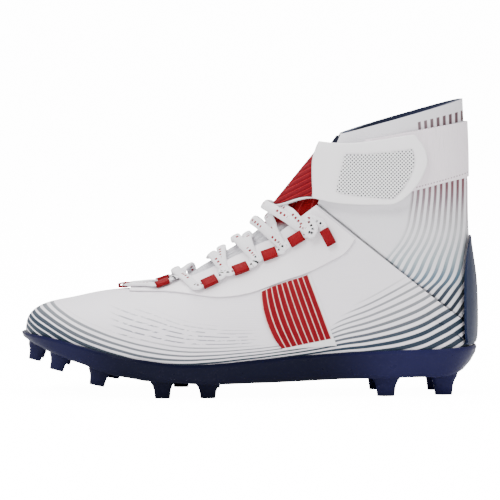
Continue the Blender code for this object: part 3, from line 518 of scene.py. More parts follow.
@dataclass(frozen=True)
class StripedFoot(Finish):
    """White coated textile of the quarter and vamp with the printed lines along the sole."""

    dark: Colour = (0.012, 0.026, 0.046)
    light: Colour = (0.27, 0.28, 0.30)
    broken: Colour = (0.15, 0.16, 0.20)
    line_share: float = 0.60
    toe_gain: float = 0.17
    low_gain: float = 0.12
    fade_loss: float = -0.24
    broken_share: float = 0.36
    broken_strength: float = 0.85
    thread: float = 0.0011

    def colour_of(self, graph: Graph) -> Input:
        """White ground, printed lines and the faint dashes over the forefoot."""
        x, _, z = graph.place()
        share = graph.math("DIVIDE", graph.plus(x, HALF_LENGTH), 2 * HALF_LENGTH)
        # Largest value of each field, because a curve runs from 0 to 1
        scaled = {"row": 0.1, "spacing": 0.01, "lines": 20.0}
        values = {}
        for field, scale in scaled.items():
            points = []
            for entry in FOOT_STRIPES:
                value = getattr(entry, field)
                if field == "row":
                    value = at_row(value)
                elif field == "spacing":
                    value = value * PIXEL
                points.append(((at_column(entry.column) + HALF_LENGTH) / (2 * HALF_LENGTH), value / scale))
            values[field] = graph.times(graph.curve(share, points), scale)
        above = graph.minus(z, values["row"])
        count = graph.math("DIVIDE", above, values["spacing"])
        fade = graph.math("DIVIDE", count, values["lines"], clamp=True)
        toe = graph.step(x, at_column(150), at_column(60))
        ground_share = graph.math("MULTIPLY_ADD", toe, self.toe_gain, self.line_share)
        low = graph.math("MULTIPLY_ADD", graph.step(count, 1.0, -4.0), self.low_gain, ground_share)
        duty = graph.math("MULTIPLY_ADD", fade, self.fade_loss, low)
        mask = graph.group(LINES, Place=count, Duty=duty)
        strength = graph.times(mask, graph.step(fade, 1.0, 0.72))
        tone = graph.mix(graph.step(count, -1.5, 4.0), self.dark, self.light)
        ground = self.varied(graph, self.colour)
        beyond = graph.minus(count, values["lines"])
        printed = graph.mix(strength, ground, tone)
        return graph.mix(self.dashes(graph, x, count, beyond), printed, self.broken)

    def dashes(self, graph: Graph, x: Input, count: Input, beyond: Input) -> bpy.types.NodeSocket:
        """Mask of the faint broken lines that go on over the forefoot."""
        broken = graph.step(graph.noise(1.0, 2.0, (150, 150, 700)), 0.42, 0.48)
        left = graph.step(x, at_column(108), at_column(128))
        right = graph.step(x, at_column(264), at_column(240))
        low = graph.step(beyond, -0.7, 0.0)
        high = graph.step(beyond, 6.0, 2.0)
        line = graph.group(LINES, Place=count, Duty=self.broken_share)
        return graph.times(left, right, low, high, broken, line, self.broken_strength)

    def height_of(self, graph: Graph) -> Input:
        """Fine ribs along the foot under the coating."""
        _, _, z = graph.place()
        ribs = graph.group(RIB, Place=graph.times(z, 1 / self.thread))
        return graph.plus(ribs, graph.times(graph.noise(1100, 2), 0.7))


@dataclass(frozen=True)
class StripedShaft(Finish):
    """White knit of the ankle with lines that run down from the band to the quarter's seam."""

    line_share: float = 0.60
    lines: float = 11.0
    widest: float = 0.01
    fade_loss: float = -0.20
    # Column and row of two points of the band's upper edge
    band_front: tuple[float, float] = (417.7, 132.9)
    band_back: tuple[float, float] = (467.0, 121.7)

    def colour_of(self, graph: Graph) -> Input:
        """White ground with the knitted lines, red at the band and navy at the heel."""
        x, _, z = graph.place()
        share = graph.math("DIVIDE", z, TALL)
        first = [(at_row(row) / TALL, (at_column(column) + HALF_LENGTH) / (2 * HALF_LENGTH))
                 for row, column, _ in SHAFT_STRIPES]
        spacing = [(at_row(row) / TALL, space * PIXEL / self.widest) for row, _, space in SHAFT_STRIPES]
        line = graph.times(graph.curve(share, first), 2 * HALF_LENGTH)
        line = graph.minus(line, HALF_LENGTH)
        apart = graph.times(graph.curve(share, spacing), self.widest)
        count = graph.math("DIVIDE", graph.minus(line, x), apart)
        mask = graph.group(LINES, Place=count, Duty=self.line_share)
        fade = graph.math("DIVIDE", count, self.lines, clamp=True)
        tone = graph.ramp(share, [(at_row(row) / TALL, colour) for row, colour in SHAFT_TONES])
        reach = graph.step(fade, 1.0, 0.93)
        weight = graph.math("MULTIPLY_ADD", fade, self.fade_loss, 1.0)
        back_x, back_z = at_column(self.band_back[0]), at_row(self.band_back[1])
        slope = (back_z - at_row(self.band_front[1])) / (back_x - at_column(self.band_front[0]))
        band = graph.minus(graph.minus(z, back_z), graph.times(graph.minus(x, back_x), slope))
        below = graph.step(band, -0.0200, -0.0210)
        above = graph.times(graph.step(band, -0.0010, 0.0), graph.step(band, 0.0066, 0.0060))
        dashes = graph.times(above, graph.step(fade, 0.80, 0.79))
        shown = graph.math("MAXIMUM", below, dashes)
        strength = graph.times(mask, reach, weight, shown)
        return graph.mix(strength, self.varied(graph, self.colour), tone)


@dataclass(frozen=True)
class Tongue(Finish):
    """Padded mesh below and lengthwise red ribs near the collar."""

    red: Colour = (0.20, 0.001, 0.004)
    channel: Colour = (0.34, 0.02, 0.025)
    collar: Colour = (0.004, 0.006, 0.02)
    rib_pitch: float = 0.0024

    def colour_of(self, graph: Graph) -> Input:
        """Navy at the collar, red ribs below it and pale mesh under the lace."""
        _, y, z = graph.place()
        rib = graph.group(RIB, Place=graph.times(y, 1 / self.rib_pitch))
        ribbed = graph.mix(graph.step(rib, 0.0, 0.35), self.channel, self.red)
        ribbed = graph.mix(graph.step(z, at_row(154), at_row(151)), ribbed, self.collar)
        return graph.mix(graph.step(z, 0.108, 0.113), self.varied(graph, self.colour), ribbed)

    def height_of(self, graph: Graph) -> Input:
        """Deep ribs over the mesh."""
        _, y, _ = graph.place()
        rib = graph.group(RIB, Place=graph.times(y, 1 / self.rib_pitch))
        weave = graph.group(WEAVE, Pitch=0.0011)
        return graph.plus(graph.times(rib, 3.0), weave)


@dataclass(frozen=True)
class PanelRibs(Finish):
    """Red ribs with pale channels between them, inside a white frame."""

    pale: Colour = (0.78, 0.50, 0.46)
    frame: Colour = (0.86, 0.85, 0.87)
    ribs: int = 9
    # Shares across the panel where the ribs start and end
    start: float = 0.025
    end: float = 0.972

    def colour_of(self, graph: Graph) -> Input:
        """Colour by the panel's own shares across and up."""
        across = graph.attribute("panel_across")
        upright = graph.attribute("panel_up")
        place = graph.math("DIVIDE", graph.minus(across, self.start), self.end - self.start)
        count = graph.times(place, float(self.ribs))
        duty = graph.plus(graph.times(graph.noise(260, 2), 0.14), 0.88)
        mask = graph.group(LINES, Place=count, Duty=duty)
        ribbed = graph.mix(mask, self.pale, self.varied(graph, self.colour))
        sides = graph.times(graph.step(place, -0.012, 0.0), graph.step(place, 1.012, 1.0))
        ends = graph.times(graph.step(upright, 0.045, 0.06), graph.step(upright, 0.99, 0.98))
        return graph.mix(graph.times(sides, ends), self.frame, ribbed)


@dataclass(frozen=True)
class SlantedRibs(Finish):
    """Red ribbed textile of the front strap."""

    slope: float = 0.46
    wrap: float = 0.15
    rib_pitch: float = 0.0034
    channel: Colour = (0.40, 0.01, 0.015)

    def place_of(self, graph: Graph) -> bpy.types.NodeSocket:
        """Count of ribs up the strap."""
        x, y, z = graph.place()
        lean = graph.plus(graph.times(x, self.slope), graph.times(graph.math("ABSOLUTE", y), self.wrap))
        return graph.times(graph.minus(z, lean), 1 / self.rib_pitch)

    def colour_of(self, graph: Graph) -> Input:
        """Deep red ribs and brighter channels."""
        rib = graph.group(RIB, Place=self.place_of(graph))
        return graph.mix(graph.step(rib, 0.05, 0.35), self.channel, self.varied(graph, self.colour))

    def height_of(self, graph: Graph) -> Input:
        """Ribs and threads."""
        rib = graph.group(RIB, Place=self.place_of(graph))
        weave = graph.group(WEAVE, Pitch=self.pitch)
        return graph.plus(graph.times(rib, 4.0), weave)


@dataclass(frozen=True)
class Elastic(Finish):
    """Woven elastic with fine upright wrinkles and a row of stitches along both edges."""

    thread: Colour = (0.20, 0.10, 0.14)
    stitch: float = 0.0019
    # Column and row of each stitched row's two ends
    rows: tuple[tuple[float, float, float, float], ...] = (
        (420.0, 130.6, 466.0, 122.8),
        (412.5, 188.4, 469.0, 174.4),
    )

    def colour_of(self, graph: Graph) -> Input:
        """Ground with the stitches."""
        x, _, z = graph.place()
        dash = graph.step(graph.math("FRACT", graph.times(x, 1 / self.stitch)), 0.48, 0.58)
        stitched: Input = 0.0
        for column, row, last_column, last_row in self.rows:
            slope = (at_row(last_row) - at_row(row)) / (at_column(last_column) - at_column(column))
            height = graph.math("MULTIPLY_ADD", x, slope, at_row(row) - slope * at_column(column))
            apart = graph.math("ABSOLUTE", graph.minus(z, height))
            stitched = graph.math("MAXIMUM", graph.step(apart, 0.00055, 0.00030), stitched)
        strength = graph.times(stitched, dash, 0.7)
        return graph.mix(strength, self.varied(graph, self.colour), self.thread)

    def height_of(self, graph: Graph) -> Input:
        """Wrinkles across the band's length and its weave."""
        wrinkles = graph.noise(1.0, 3.0, (420, 420, 60))
        weave = graph.group(WEAVE, Pitch=self.pitch)
        return graph.plus(graph.times(wrinkles, 9.0), weave)


@dataclass(frozen=True)
class DottedMesh(Finish):
    """Fine mesh of small round holes in staggered rows, with painted shade darkening the holes."""

    # Painted shade: near-black colour laid into the sunk holes
    hole_shade: Colour = (0.05, 0.05, 0.06)
    hole_pitch: float = 0.0017

    def dots(self, graph: Graph) -> bpy.types.NodeSocket:
        """Mask of the holes."""
        x, _, z = graph.place()
        turn = 2 * pi / self.hole_pitch
        first = graph.math("SINE", graph.times(x, turn / 1.4))
        second = graph.math("SINE", graph.times(z, turn / 1.4))
        return graph.step(graph.times(first, second), 0.10, 0.45)

    def colour_of(self, graph: Graph) -> Input:
        """Silver threads, with painted shade darkening the holes."""
        return graph.mix(self.dots(graph), self.varied(graph, self.colour), self.hole_shade)

    def height_of(self, graph: Graph) -> Input:
        """Sunk holes."""
        return graph.times(self.dots(graph), -2.0)


@dataclass(frozen=True)
class LaceWeave(Finish):
    """Flat lace with red and black flecks along it."""

    red: Colour = (0.22, 0.0, 0.010)
    black: Colour = (0.012, 0.012, 0.016)
    fleck_pitch: float = 0.0027
    run_pitch: float = 0.019
    braid_pitch: float = 0.0009

    def colour_of(self, graph: Graph) -> Input:
        """White braid with rows of flecks at set places along the lace."""
        along = graph.attribute("lace_along")
        across = graph.attribute("lace_across")
        line = graph.math("ABSOLUTE", graph.minus(across, 0.12))
        thread = graph.step(line, 0.30, 0.20)
        dash = graph.step(graph.math("FRACT", graph.times(along, 1 / self.fleck_pitch)), 0.45, 0.52)
        run = graph.math("FRACT", graph.times(along, 1 / self.run_pitch))
        red_run = graph.times(graph.step(run, 0.10, 0.12), graph.step(run, 0.62, 0.60))
        turn = graph.attribute("lace_turn")
        fleck = graph.times(thread, dash)
        white = self.varied(graph, self.colour)
        red = graph.mix(graph.times(fleck, red_run), white, self.red)
        pinch = graph.times(graph.step(turn, 0.55, 0.80), graph.step(across, -0.5, -0.1))
        black = graph.math("MAXIMUM", graph.times(fleck, graph.step(turn, 0.15, 0.35)),
                           graph.times(pinch, dash))
        return graph.mix(black, red, self.black)

    def height_of(self, graph: Graph) -> Input:
        """Braid in chevrons."""
        along = graph.attribute("lace_along")
        across = graph.math("ABSOLUTE", graph.attribute("lace_across"))
        lean = graph.plus(graph.times(along, 1 / self.braid_pitch), graph.times(across, 2.0))
        return graph.group(RIB, Place=lean)


@dataclass(frozen=True)
class Webbing(Finish):
    """Red webbing of the lace loops with dark flecks."""

    fleck: Colour = (0.08, 0.0, 0.005)

    def colour_of(self, graph: Graph) -> Input:
        """Red threads and sparse dark flecks."""
        flecks = graph.step(graph.noise(1100, 1), 0.66, 0.72)
        return graph.mix(graph.times(flecks, 0.6), self.varied(graph, self.colour), self.fleck)


NAVY_GLOSS = PlateGloss("navy_gloss", (0.001, 0.0015, 0.012), roughness=0.30, gloss=0.09,
                        relief=0.00004, mottle=0.10)
NAVY_RUBBER = Moulded("navy_rubber_satin", (0.006, 0.012, 0.040), roughness=0.38, gloss=0.2, relief=0.00006)
FOOT_TEXTILE = StripedFoot("foot_textile", (0.86, 0.82, 0.87), roughness=0.55, relief=0.00006, mottle=0.02)
SHAFT_KNIT = StripedShaft("shaft_knit", (0.80, 0.78, 0.82), roughness=0.78, sheen=0.1, pitch=0.0011,
                          relief=0.00014, mottle=0.03)
LINING = Finish("navy_lining", (0.010, 0.016, 0.05), roughness=0.8, sheen=0.3, pitch=0.0012, relief=0.0001)
INSOLE_CLOTH = Finish("insole_cloth", (0.05, 0.06, 0.10), roughness=0.85, sheen=0.2, relief=0.0001)
TONGUE_MESH = Tongue("tongue_mesh", (0.76, 0.75, 0.79), roughness=0.85, gloss=0.15, relief=0.0003)
EYESTAY_FILM = Finish("eyestay_film", (0.94, 0.90, 0.935), roughness=0.45, coat=0.1, pitch=0.0013,
                      relief=0.00003, mottle=0.02)
PANEL_TEXTILE = PanelRibs("panel_textile", (0.19, 0.0, 0.006), roughness=0.7, gloss=0.15, pitch=0.0007,
                          relief=0.0001)
STRAP_TEXTILE = SlantedRibs("strap_textile", (0.16, 0.0, 0.006), roughness=0.7, gloss=0.15, relief=0.00022)
BAND_ELASTIC = Elastic("band_elastic", (0.94, 0.855, 0.91), roughness=0.75, sheen=0.25, pitch=0.0009,
                       relief=0.00012, mottle=0.03)
BINDING_TAPE = Finish("binding_tape", (0.84, 0.83, 0.85), roughness=0.7, sheen=0.2, pitch=0.0007)
TAB_PLASTIC = Moulded("tab_plastic", (0.97, 0.945, 0.965), roughness=0.42, coat=0.08,
                      relief=0.00003, mottle=0.02)
TAB_MESH = DottedMesh("tab_mesh", (0.96, 0.95, 0.96), roughness=0.45, relief=0.0001)
LOOP_WEBBING = Webbing("loop_webbing", (0.20, 0.0, 0.004), roughness=0.5, gloss=0.12, pitch=0.0008,
                       relief=0.00018, mottle=0.12)
LACE_BRAID = LaceWeave("lace_braid", (0.90, 0.88, 0.91), roughness=0.7, sheen=0.2,
                       relief=0.00016, mottle=0.03)


def select_only(thing: bpy.types.Object) -> None:
    """Make one object the only selected and the active one.

    Args:
        thing: Object to select.
    """
    bpy.ops.object.select_all(action="DESELECT")
    thing.select_set(True)
    bpy.context.view_layer.objects.active = thing


def wear(thing: bpy.types.Object, *finishes: Finish) -> None:
    """Give an object its materials.

    Args:
        thing: Object to dress.
        finishes: Finishes, one for each slot.
    """
    thing.data.materials.clear()
    for finish in finishes:
        thing.data.materials.append(finish.make())


@dataclass(frozen=True)
class Cover:
    """A refined piece that stands for a node of the frame: its slot, how fine, and its kept angles."""

    node: str
    slot: str
    levels: int = 2
    sharp: float = 38.0
    square: float = 40.0


MERGE_DISTANCE = 2e-6
QUAD_SHAPE = radians(70)


def refine(cover: Cover) -> bpy.types.Object:
    """Copy a node's mesh, merge it, turn it to quads and subdivide it with its edges kept.

    Args:
        cover: The node and how fine its cover is.

    Returns:
        The new piece, which replaces the node.
    """
    mesh = frame["nodes"][cover.node].data.copy()
    piece = bpy.data.objects.new(cover.node + "_cover", mesh)
    bpy.context.scene.collection.objects.link(piece)
    select_only(piece)
    bpy.ops.object.mode_set(mode="EDIT")
    bpy.ops.mesh.select_mode(type="EDGE")
    bpy.ops.mesh.select_all(action="SELECT")
    bpy.ops.mesh.remove_doubles(threshold=MERGE_DISTANCE)
    bpy.ops.mesh.tris_convert_to_quads(face_threshold=radians(cover.square), shape_threshold=QUAD_SHAPE)
    bpy.ops.mesh.normals_make_consistent(inside=False)
    bpy.ops.mesh.select_all(action="DESELECT")
    bpy.ops.mesh.edges_select_sharp(sharpness=radians(cover.sharp))
    bpy.ops.transform.edge_crease(value=1.0)
    bpy.ops.object.mode_set(mode="OBJECT")
    if cover.levels:
        bpy.ops.object.modifier_add(type="SUBSURF")
        piece.modifiers[-1].levels = cover.levels
        bpy.ops.object.modifier_apply(modifier=piece.modifiers[-1].name)
    bpy.ops.object.shade_smooth_by_angle(angle=radians(cover.sharp))
    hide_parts(cover.node)
    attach(piece, "root")
    log.info("%s: %d faces", piece.name, len(piece.data.polygons))
    return piece


@dataclass(frozen=True)
class Crease:
    """Soft trough along a line of photo points, pressed towards the shoe's middle plane."""

    points: tuple[tuple[float, float], ...]
    depth: float
    width: float
    # Distance from the middle plane within which the trough runs out
    run_out: float = 0.012

    def press(self, piece: bpy.types.Object) -> None:
        """Press the trough into both skins of a piece.

        Args:
            piece: A refined piece.
        """
        line = [Vector((at_column(column), at_row(row))) for column, row in self.points]
        for vert in piece.data.vertices:
            place = Vector((vert.co.x, vert.co.z))
            near = reach = self.width * 1.5
            for start, end in zip(line, line[1:]):
                way = end - start
                share = min(max((place - start).dot(way) / way.length_squared, 0.0), 1.0)
                near = min(near, (place - start - way * share).length)
            fall = (1 - (near / reach) ** 2) ** 2
            steep = min(abs(vert.co.y) / self.run_out, 1.0)
            vert.co.y -= (1 if vert.co.y > 0 else -1) * self.depth * fall * steep


SHAFT_CREASES = (
    Crease(((322, 209.0), (350, 213.0), (384, 212.0), (402, 208.0)), 0.0013, 0.0030),
    Crease(((338, 222.0), (362, 229.0), (386, 231.0)), 0.0007, 0.0048),
)
# Lower and upper end of the side panel: front and back column, front and back row, and its front's bow
PANEL_LOW = (280.6, 333.0, 350.4, 340.8)
PANEL_HIGH = (260.0, 306.5, 291.0, 270.0)
PANEL_BOW = 5.6
PANEL_PASSES = 8

VAMP_CREASES = (
    Crease(((168, 306.0), (176, 319.0), (181, 335.0)), 0.0005, 0.0050),
    Crease(((205, 310.0), (214, 322.0), (220, 337.0)), 0.0005, 0.0050),
)


class Sole:
    """Studded plate and footbed."""

    def build(self) -> None:
        """Refine the plate and the footbed."""
        wear(refine(Cover("outsole", "navy_plate", levels=0, sharp=32, square=1)), NAVY_GLOSS)
        wear(refine(Cover("insole", "insole_fabric", levels=1)), INSOLE_CLOTH)


class Foot:
    """Upper with its overlays, side panels and heel counter."""

    def build(self) -> None:
        """Refine the upper and everything that lies on it."""
        upper = refine(Cover("upper", "white_synthetic"))
        for crease in VAMP_CREASES:
            crease.press(upper)
        wear(upper, FOOT_TEXTILE, LINING)
        line_inside(upper)
        wear(refine(Cover("heel_counter", "navy_rubber")), NAVY_RUBBER)
        for side in Side:
            wear(refine(Cover("eyestay_" + side.word, "white_synthetic")), EYESTAY_FILM)
            panel = refine(Cover("stretch_panel_" + side.word, "red_rib"))
            self.grade_panel(panel)
            wear(panel, PANEL_TEXTILE)

    def grade_panel(self, panel: bpy.types.Object) -> None:
        """Store each point's share across and up the panel.

        Args:
            panel: The refined side panel.
        """
        across = panel.data.attributes.new("panel_across", "FLOAT", "POINT")
        upright = panel.data.attributes.new("panel_up", "FLOAT", "POINT")
        for index, vert in enumerate(panel.data.vertices):
            share, height = 0.5, 0.5
            for _ in range(PANEL_PASSES):
                bow = PANEL_BOW * 4 * height * (1 - height) * (1 - share)
                front = at_column(PANEL_LOW[0] + (PANEL_HIGH[0] - PANEL_LOW[0]) * height - bow)
                back = at_column(PANEL_LOW[1] + (PANEL_HIGH[1] - PANEL_LOW[1]) * height)
                share = (vert.co.x - front) / (back - front)
                low = at_row(PANEL_LOW[2] + (PANEL_LOW[3] - PANEL_LOW[2]) * share)
                high = at_row(PANEL_HIGH[2] + (PANEL_HIGH[3] - PANEL_HIGH[2]) * share)
                height = min(max((vert.co.z - low) / (high - low), -0.2), 1.2)
            across.data[index].value = share
            upright.data[index].value = height


# Where the foot ends and the ankle starts, and the ankle's middle, both along X
ANKLE_FRONT = 0.02
ANKLE_MIDDLE = 0.095
FOOT_AXIS = 0.05


def line_inside(piece: bpy.types.Object) -> None:
    """Give the faces that look inwards the second material.

    Args:
        piece: A hollow piece whose second slot is its lining.
    """
    for face in piece.data.polygons:
        x, _, z = face.center
        axis = Vector((ANKLE_MIDDLE, 0.0, z))
        if x < ANKLE_FRONT:
            axis = Vector((x, 0.0, min(z * 0.6, FOOT_AXIS)))
        inwards = face.normal.dot(face.center - axis) < 0
        face.material_index = 1 if inwards else 0


class Ankle:
    """Knitted shaft and padded tongue."""

    def build(self) -> None:
        """Refine the shaft and the tongue."""
        shaft = refine(Cover("shaft", "white_knit"))
        for crease in SHAFT_CREASES:
            crease.press(shaft)
        wear(shaft, SHAFT_KNIT, LINING)
        line_inside(shaft)
        tongue = refine(Cover("tongue", "grey_mesh"))
        wear(tongue, TONGUE_MESH)


class Strap:
    """Ankle band, front strap and closing tab."""

    def build(self) -> None:
        """Refine the strap's pieces."""
        wear(refine(Cover("strap_band", "white_elastic")), BAND_ELASTIC)
        wear(refine(Cover("strap_front", "red_rib")), STRAP_TEXTILE)
        wear(refine(Cover("strap_edge_binding", "white_elastic")), BINDING_TAPE)
        wear(refine(Cover("strap_tab", "white_moulded", sharp=50)), TAB_PLASTIC)
        wear(refine(Cover("strap_tab_inlay", "silver_mesh")), TAB_MESH)


@dataclass(frozen=True)
class LaceSizes:
    """Sizes of the lace.

    Attributes:
        width: Width of a free run.
        thickness: Thickness of a free run.
        loop_width: Width inside a loop.
        loop_thickness: Thickness inside a loop.
        inset: How far a run's middle lies under the face of the frame's own lace.
        over: Rise of the upper run at the first crossing.
        under: Rise of the lower run at the first crossing.
        climb: What each higher crossing adds to the rise.
        overshoot: Distance from a loop to where the lace swings round.
        axis_depth: Depth of the axis that the runs bend round.
        cast: Height from which a run is dropped on the shoe.
        resting: Height of a run's middle over the eyestays or the tongue.
        spread: How far apart the two runs of a crossing stand from its middle at the crest.
        top_slides: The same at the top crossing, for its upper and its lower run.
        dip_reach: Distance from the fifth loop to the dip before the top loop.
        dip_lift: Height of the dip over the loop's middle.
        section_points: Points round the section.
        roundness: Power that flattens the section.
    """

    width: float = 0.0066
    thickness: float = 0.0027
    loop_width: float = 0.0050
    loop_thickness: float = 0.0013
    inset: float = 0.0012
    over: float = 0.0034
    under: float = 0.0004
    climb: float = 0.0007
    overshoot: float = 0.0042
    axis_depth: float = 0.030
    cast: float = 0.080
    resting: float = 0.0006
    spread: float = 0.0045
    top_slides: tuple[float, float] = (0.012, 0.004)
    dip_reach: float = 0.0055
    dip_lift: float = 0.0030
    section_points: int = 12
    roundness: float = 0.75


@dataclass(frozen=True)
class Stop:
    """One place on the lace's route, with the share of the full section and of the dark turn."""

    place: Vector
    out: Vector
    fullness: float = 1.0
    turn: float = 0.0


class Lacing:
    """Webbing loops and one flat lace that runs through all of them."""

    LOOPS = 6
    SHARES = (0.16, 0.28, 0.40, 0.50, 0.60, 0.72, 0.84)
    IN_LOOP = (-0.95, 0.0, 0.95)
    TOE_SHARES = (0.25, 0.5, 0.75)
    STEPS = 4
    HUMP_REACH = 0.42
    TURN_FULLNESS = 0.75
    TOE_FULLNESS = 0.95
    # The throat is flat at the first place along X and steep from the second
    FLAT_AT = -0.06
    STEEP_AFTER = 0.08
    # Stops of the dip: along the loops, towards the crest, fullness, darkness of the turn
    DIP = (
        (-0.0008, 0.0008, 0.95, 0.0),
        (0.0, -0.0035, 0.7, 1.0),
        (0.0035, -0.0008, 0.8, 0.6),
        (0.0035, 0.0062, 1.0, 0.0),
    )

    def __init__(self, sizes: LaceSizes = LaceSizes()) -> None:
        """Set the lace's sizes.

        Args:
            sizes: Sizes of the lace.
        """
        self.sizes = sizes
        self.ground = self.search_tree("tongue", "eyestay_lateral", "eyestay_medial", "upper")

    @staticmethod
    def search_tree(*names: str) -> BVHTree:
        """Search tree of some nodes of the frame.

        Args:
            names: Nodes of the frame.

        Returns:
            The tree.
        """
        verts: list[Vector] = []
        faces: list[tuple[int, ...]] = []
        for name in names:
            mesh = frame["nodes"][name].data
            base = len(verts)
            verts += [vert.co.copy() for vert in mesh.vertices]
            faces += [tuple(base + index for index in face.vertices) for face in mesh.polygons]
        return BVHTree.FromPolygons(verts, faces)

    def build(self) -> None:
        """Refine the loops and run the lace through them."""
        names = ["lace_loop_toe"]
        names += [f"lace_loop_{side.word}_{number}" for side in Side for number in range(1, self.LOOPS + 1)]
        for name in names:
            wear(refine(Cover(name, "red_webbing", sharp=60)), LOOP_WEBBING)
        self.run_lace()

    def loop_frame(self, name: str) -> tuple[Vector, Vector, Vector]:
        """Middle of a loop, half its length along its tunnel and the way it faces.

        Args:
            name: Node of the loop.

        Returns:
            Middle, half length towards the heel or the inner side, and outward direction.
        """
        points = {tuple(round(value, 6) for value in vert.co) for vert in frame["nodes"][name].data.vertices}
        places = np.array(sorted(points))
        middle = places.mean(axis=0)
        _, _, axes = np.linalg.svd(places - middle)
        reach = np.abs((places - middle) @ axes[0]).max()
        along, out = Vector(axes[0]) * reach, Vector(axes[2])
        if along.x + along.y * 0.5 < 0:
            along = -along
        return Vector(middle), along, out if out.z > 0 else -out

    def leg(self, tree: BVHTree, start: Vector, end: Vector, lift: float, slide: float) -> list[Stop]:
        """One run over the tongue, laid on the outer face of the frame's own lace.

        Args:
            tree: Search tree of the solid that the run follows.
            start: Where the run leaves a loop.
            end: Where it enters the next one.
            lift: Extra height in the run's middle, where it passes the other one.
            slide: How far the run's middle lies towards the toe.

        Returns:
            Stops of the run.
        """
        sizes = self.sizes
        middle = (start + end) / 2
        steep = min(max((middle.x - self.FLAT_AT) / self.STEEP_AFTER, 0.0), 1.0)
        toeward = Vector((-0.86 + 0.16 * steep, 0.0, -0.5 - 0.2 * steep)) * slide
        crest = Vector((-0.12 - 0.62 * steep, 0.0, 1.0)).normalized()
        axis = middle - crest * sizes.axis_depth
        stops = []
        for share in self.SHARES:
            hump = max(0.0, 1 - abs(share - 0.5) / self.HUMP_REACH)
            level = start.lerp(end, share)
            away = (level - axis).normalized()
            level = level + toeward * hump
            sunk = sizes.inset
            place, normal, _, _ = tree.ray_cast(level + away * sizes.cast, -away)
            if place is None:
                sunk = -sizes.resting
                place, normal, _, _ = self.ground.ray_cast(level + away * sizes.cast, -away)
            if place is None:
                place, normal, _, _ = tree.find_nearest(level + away * 0.012)
            if normal.dot(away) < 0.4:
                normal = away
            rise = lift * hump * hump * (3 - 2 * hump) - sunk
            stops.append(Stop(place + normal * rise, normal))
        return stops

    def through(self, name: str, heading: int) -> list[Stop]:
        """Stops inside a loop.

        Args:
            name: Node of the loop.
            heading: 1 towards the heel, -1 towards the toe.

        Returns:
            Stops from where the lace enters to where it leaves.
        """
        middle, half, out = self.loop_frame(name)
        return [Stop(middle + half * share * heading, out, 0.0) for share in self.IN_LOOP]

    def turn(self, name: str, heading: int, entering: bool) -> Stop:
        """Where the lace swings round just outside a loop.

        Args:
            name: Node of the loop.
            heading: 1 towards the heel, -1 towards the toe.
            entering: Whether the lace comes to the loop here.

        Returns:
            The stop.
        """
        middle, half, out = self.loop_frame(name)
        way = half.normalized() * (-heading if entering else heading)
        reach = half.length + self.sizes.overshoot
        place = middle + way * reach + out * self.sizes.resting
        return Stop(place, out, self.TURN_FULLNESS, 1.0 if way.x > 0 else 0.4)

    def route(self) -> list[Stop]:
        """Whole route of the lace from the top loop of one side to the other's.

        Returns:
            Stops of the route.
        """
        sides = [Side.LATERAL, Side.MEDIAL]
        down = [(number, sides[number % 2]) for number in range(self.LOOPS, 0, -1)]
        flip = {Side.LATERAL: Side.MEDIAL, Side.MEDIAL: Side.LATERAL}
        up = [(number, flip[side]) for number, side in reversed(down)]
        stops: list[Stop] = []
        for heading, row in ((-1, down), (1, up)):
            for place, (number, side) in enumerate(row):
                name = f"lace_loop_{side.word}_{number}"
                facing = self.facing(number, heading)
                stops += self.through(name, facing)
                if place + 1 < len(row):
                    next_number, next_side = row[place + 1]
                    next_name = f"lace_loop_{next_side.word}_{next_number}"
                    low = min(number, next_number)
                    over = (low % 2 == 0) == (heading > 0)
                    leave = self.turn(name, facing, False)
                    arrive = [self.turn(next_name, self.facing(next_number, heading), True)]
                    slide = self.slide_of(low, side if number == low else next_side)
                    if next_number == self.LOOPS:
                        arrive = self.dip(next_side) + arrive
                    lift = (self.sizes.over if over else self.sizes.under) + self.sizes.climb * (low - 1)
                    stops.append(leave)
                    if number == self.LOOPS:
                        stops += self.dip(side)[::-1]
                    tree = self.search_tree(f"lace_cross_{low}")
                    stops += self.leg(tree, stops[-1].place, arrive[0].place, lift, slide)
                    stops += arrive
            if heading < 0:
                stops += self.toe_stops(stops[-1].place)
        return stops

    def slide_of(self, low: int, low_side: Side) -> float:
        """How far a run's middle lies towards the toe, so that the crossing shows on the outer side.

        Args:
            low: Number of the crossing.
            low_side: Side of the run's end that is nearer the toe.

        Returns:
            Distance towards the toe.
        """
        rises = low_side is Side.LATERAL
        if low == self.LOOPS - 1:
            return self.sizes.top_slides[int(rises)]
        return -self.sizes.spread if rises else self.sizes.spread

    def dip(self, side: Side) -> list[Stop]:
        """Stops where the lace bends down to the eyestay before the top loop.

        Args:
            side: Side of the shoe.

        Returns:
            Stops from the crest to the top loop.
        """
        middle, half, out = self.loop_frame(f"lace_loop_{side.word}_{self.LOOPS - 1}")
        along = half.normalized()
        upward = along.cross(out)
        if upward.z < 0:
            upward = -upward
        edge = middle + along * (half.length + self.sizes.dip_reach) + out * self.sizes.dip_lift
        return [Stop(edge + along * on + upward * up, out, fullness, dark)
                for on, up, fullness, dark in self.DIP]

    def facing(self, number: int, heading: int) -> int:
        """Way through a loop, 1 along its own direction; the turned top loop is entered from the crest."""
        return -heading if number == self.LOOPS and self.top_turned() else heading

    def top_turned(self) -> bool:
        """Whether the top loop's own direction points from the crest to the heel."""
        _, along, _ = self.loop_frame(f"lace_loop_lateral_{self.LOOPS}")
        return along.z > 0

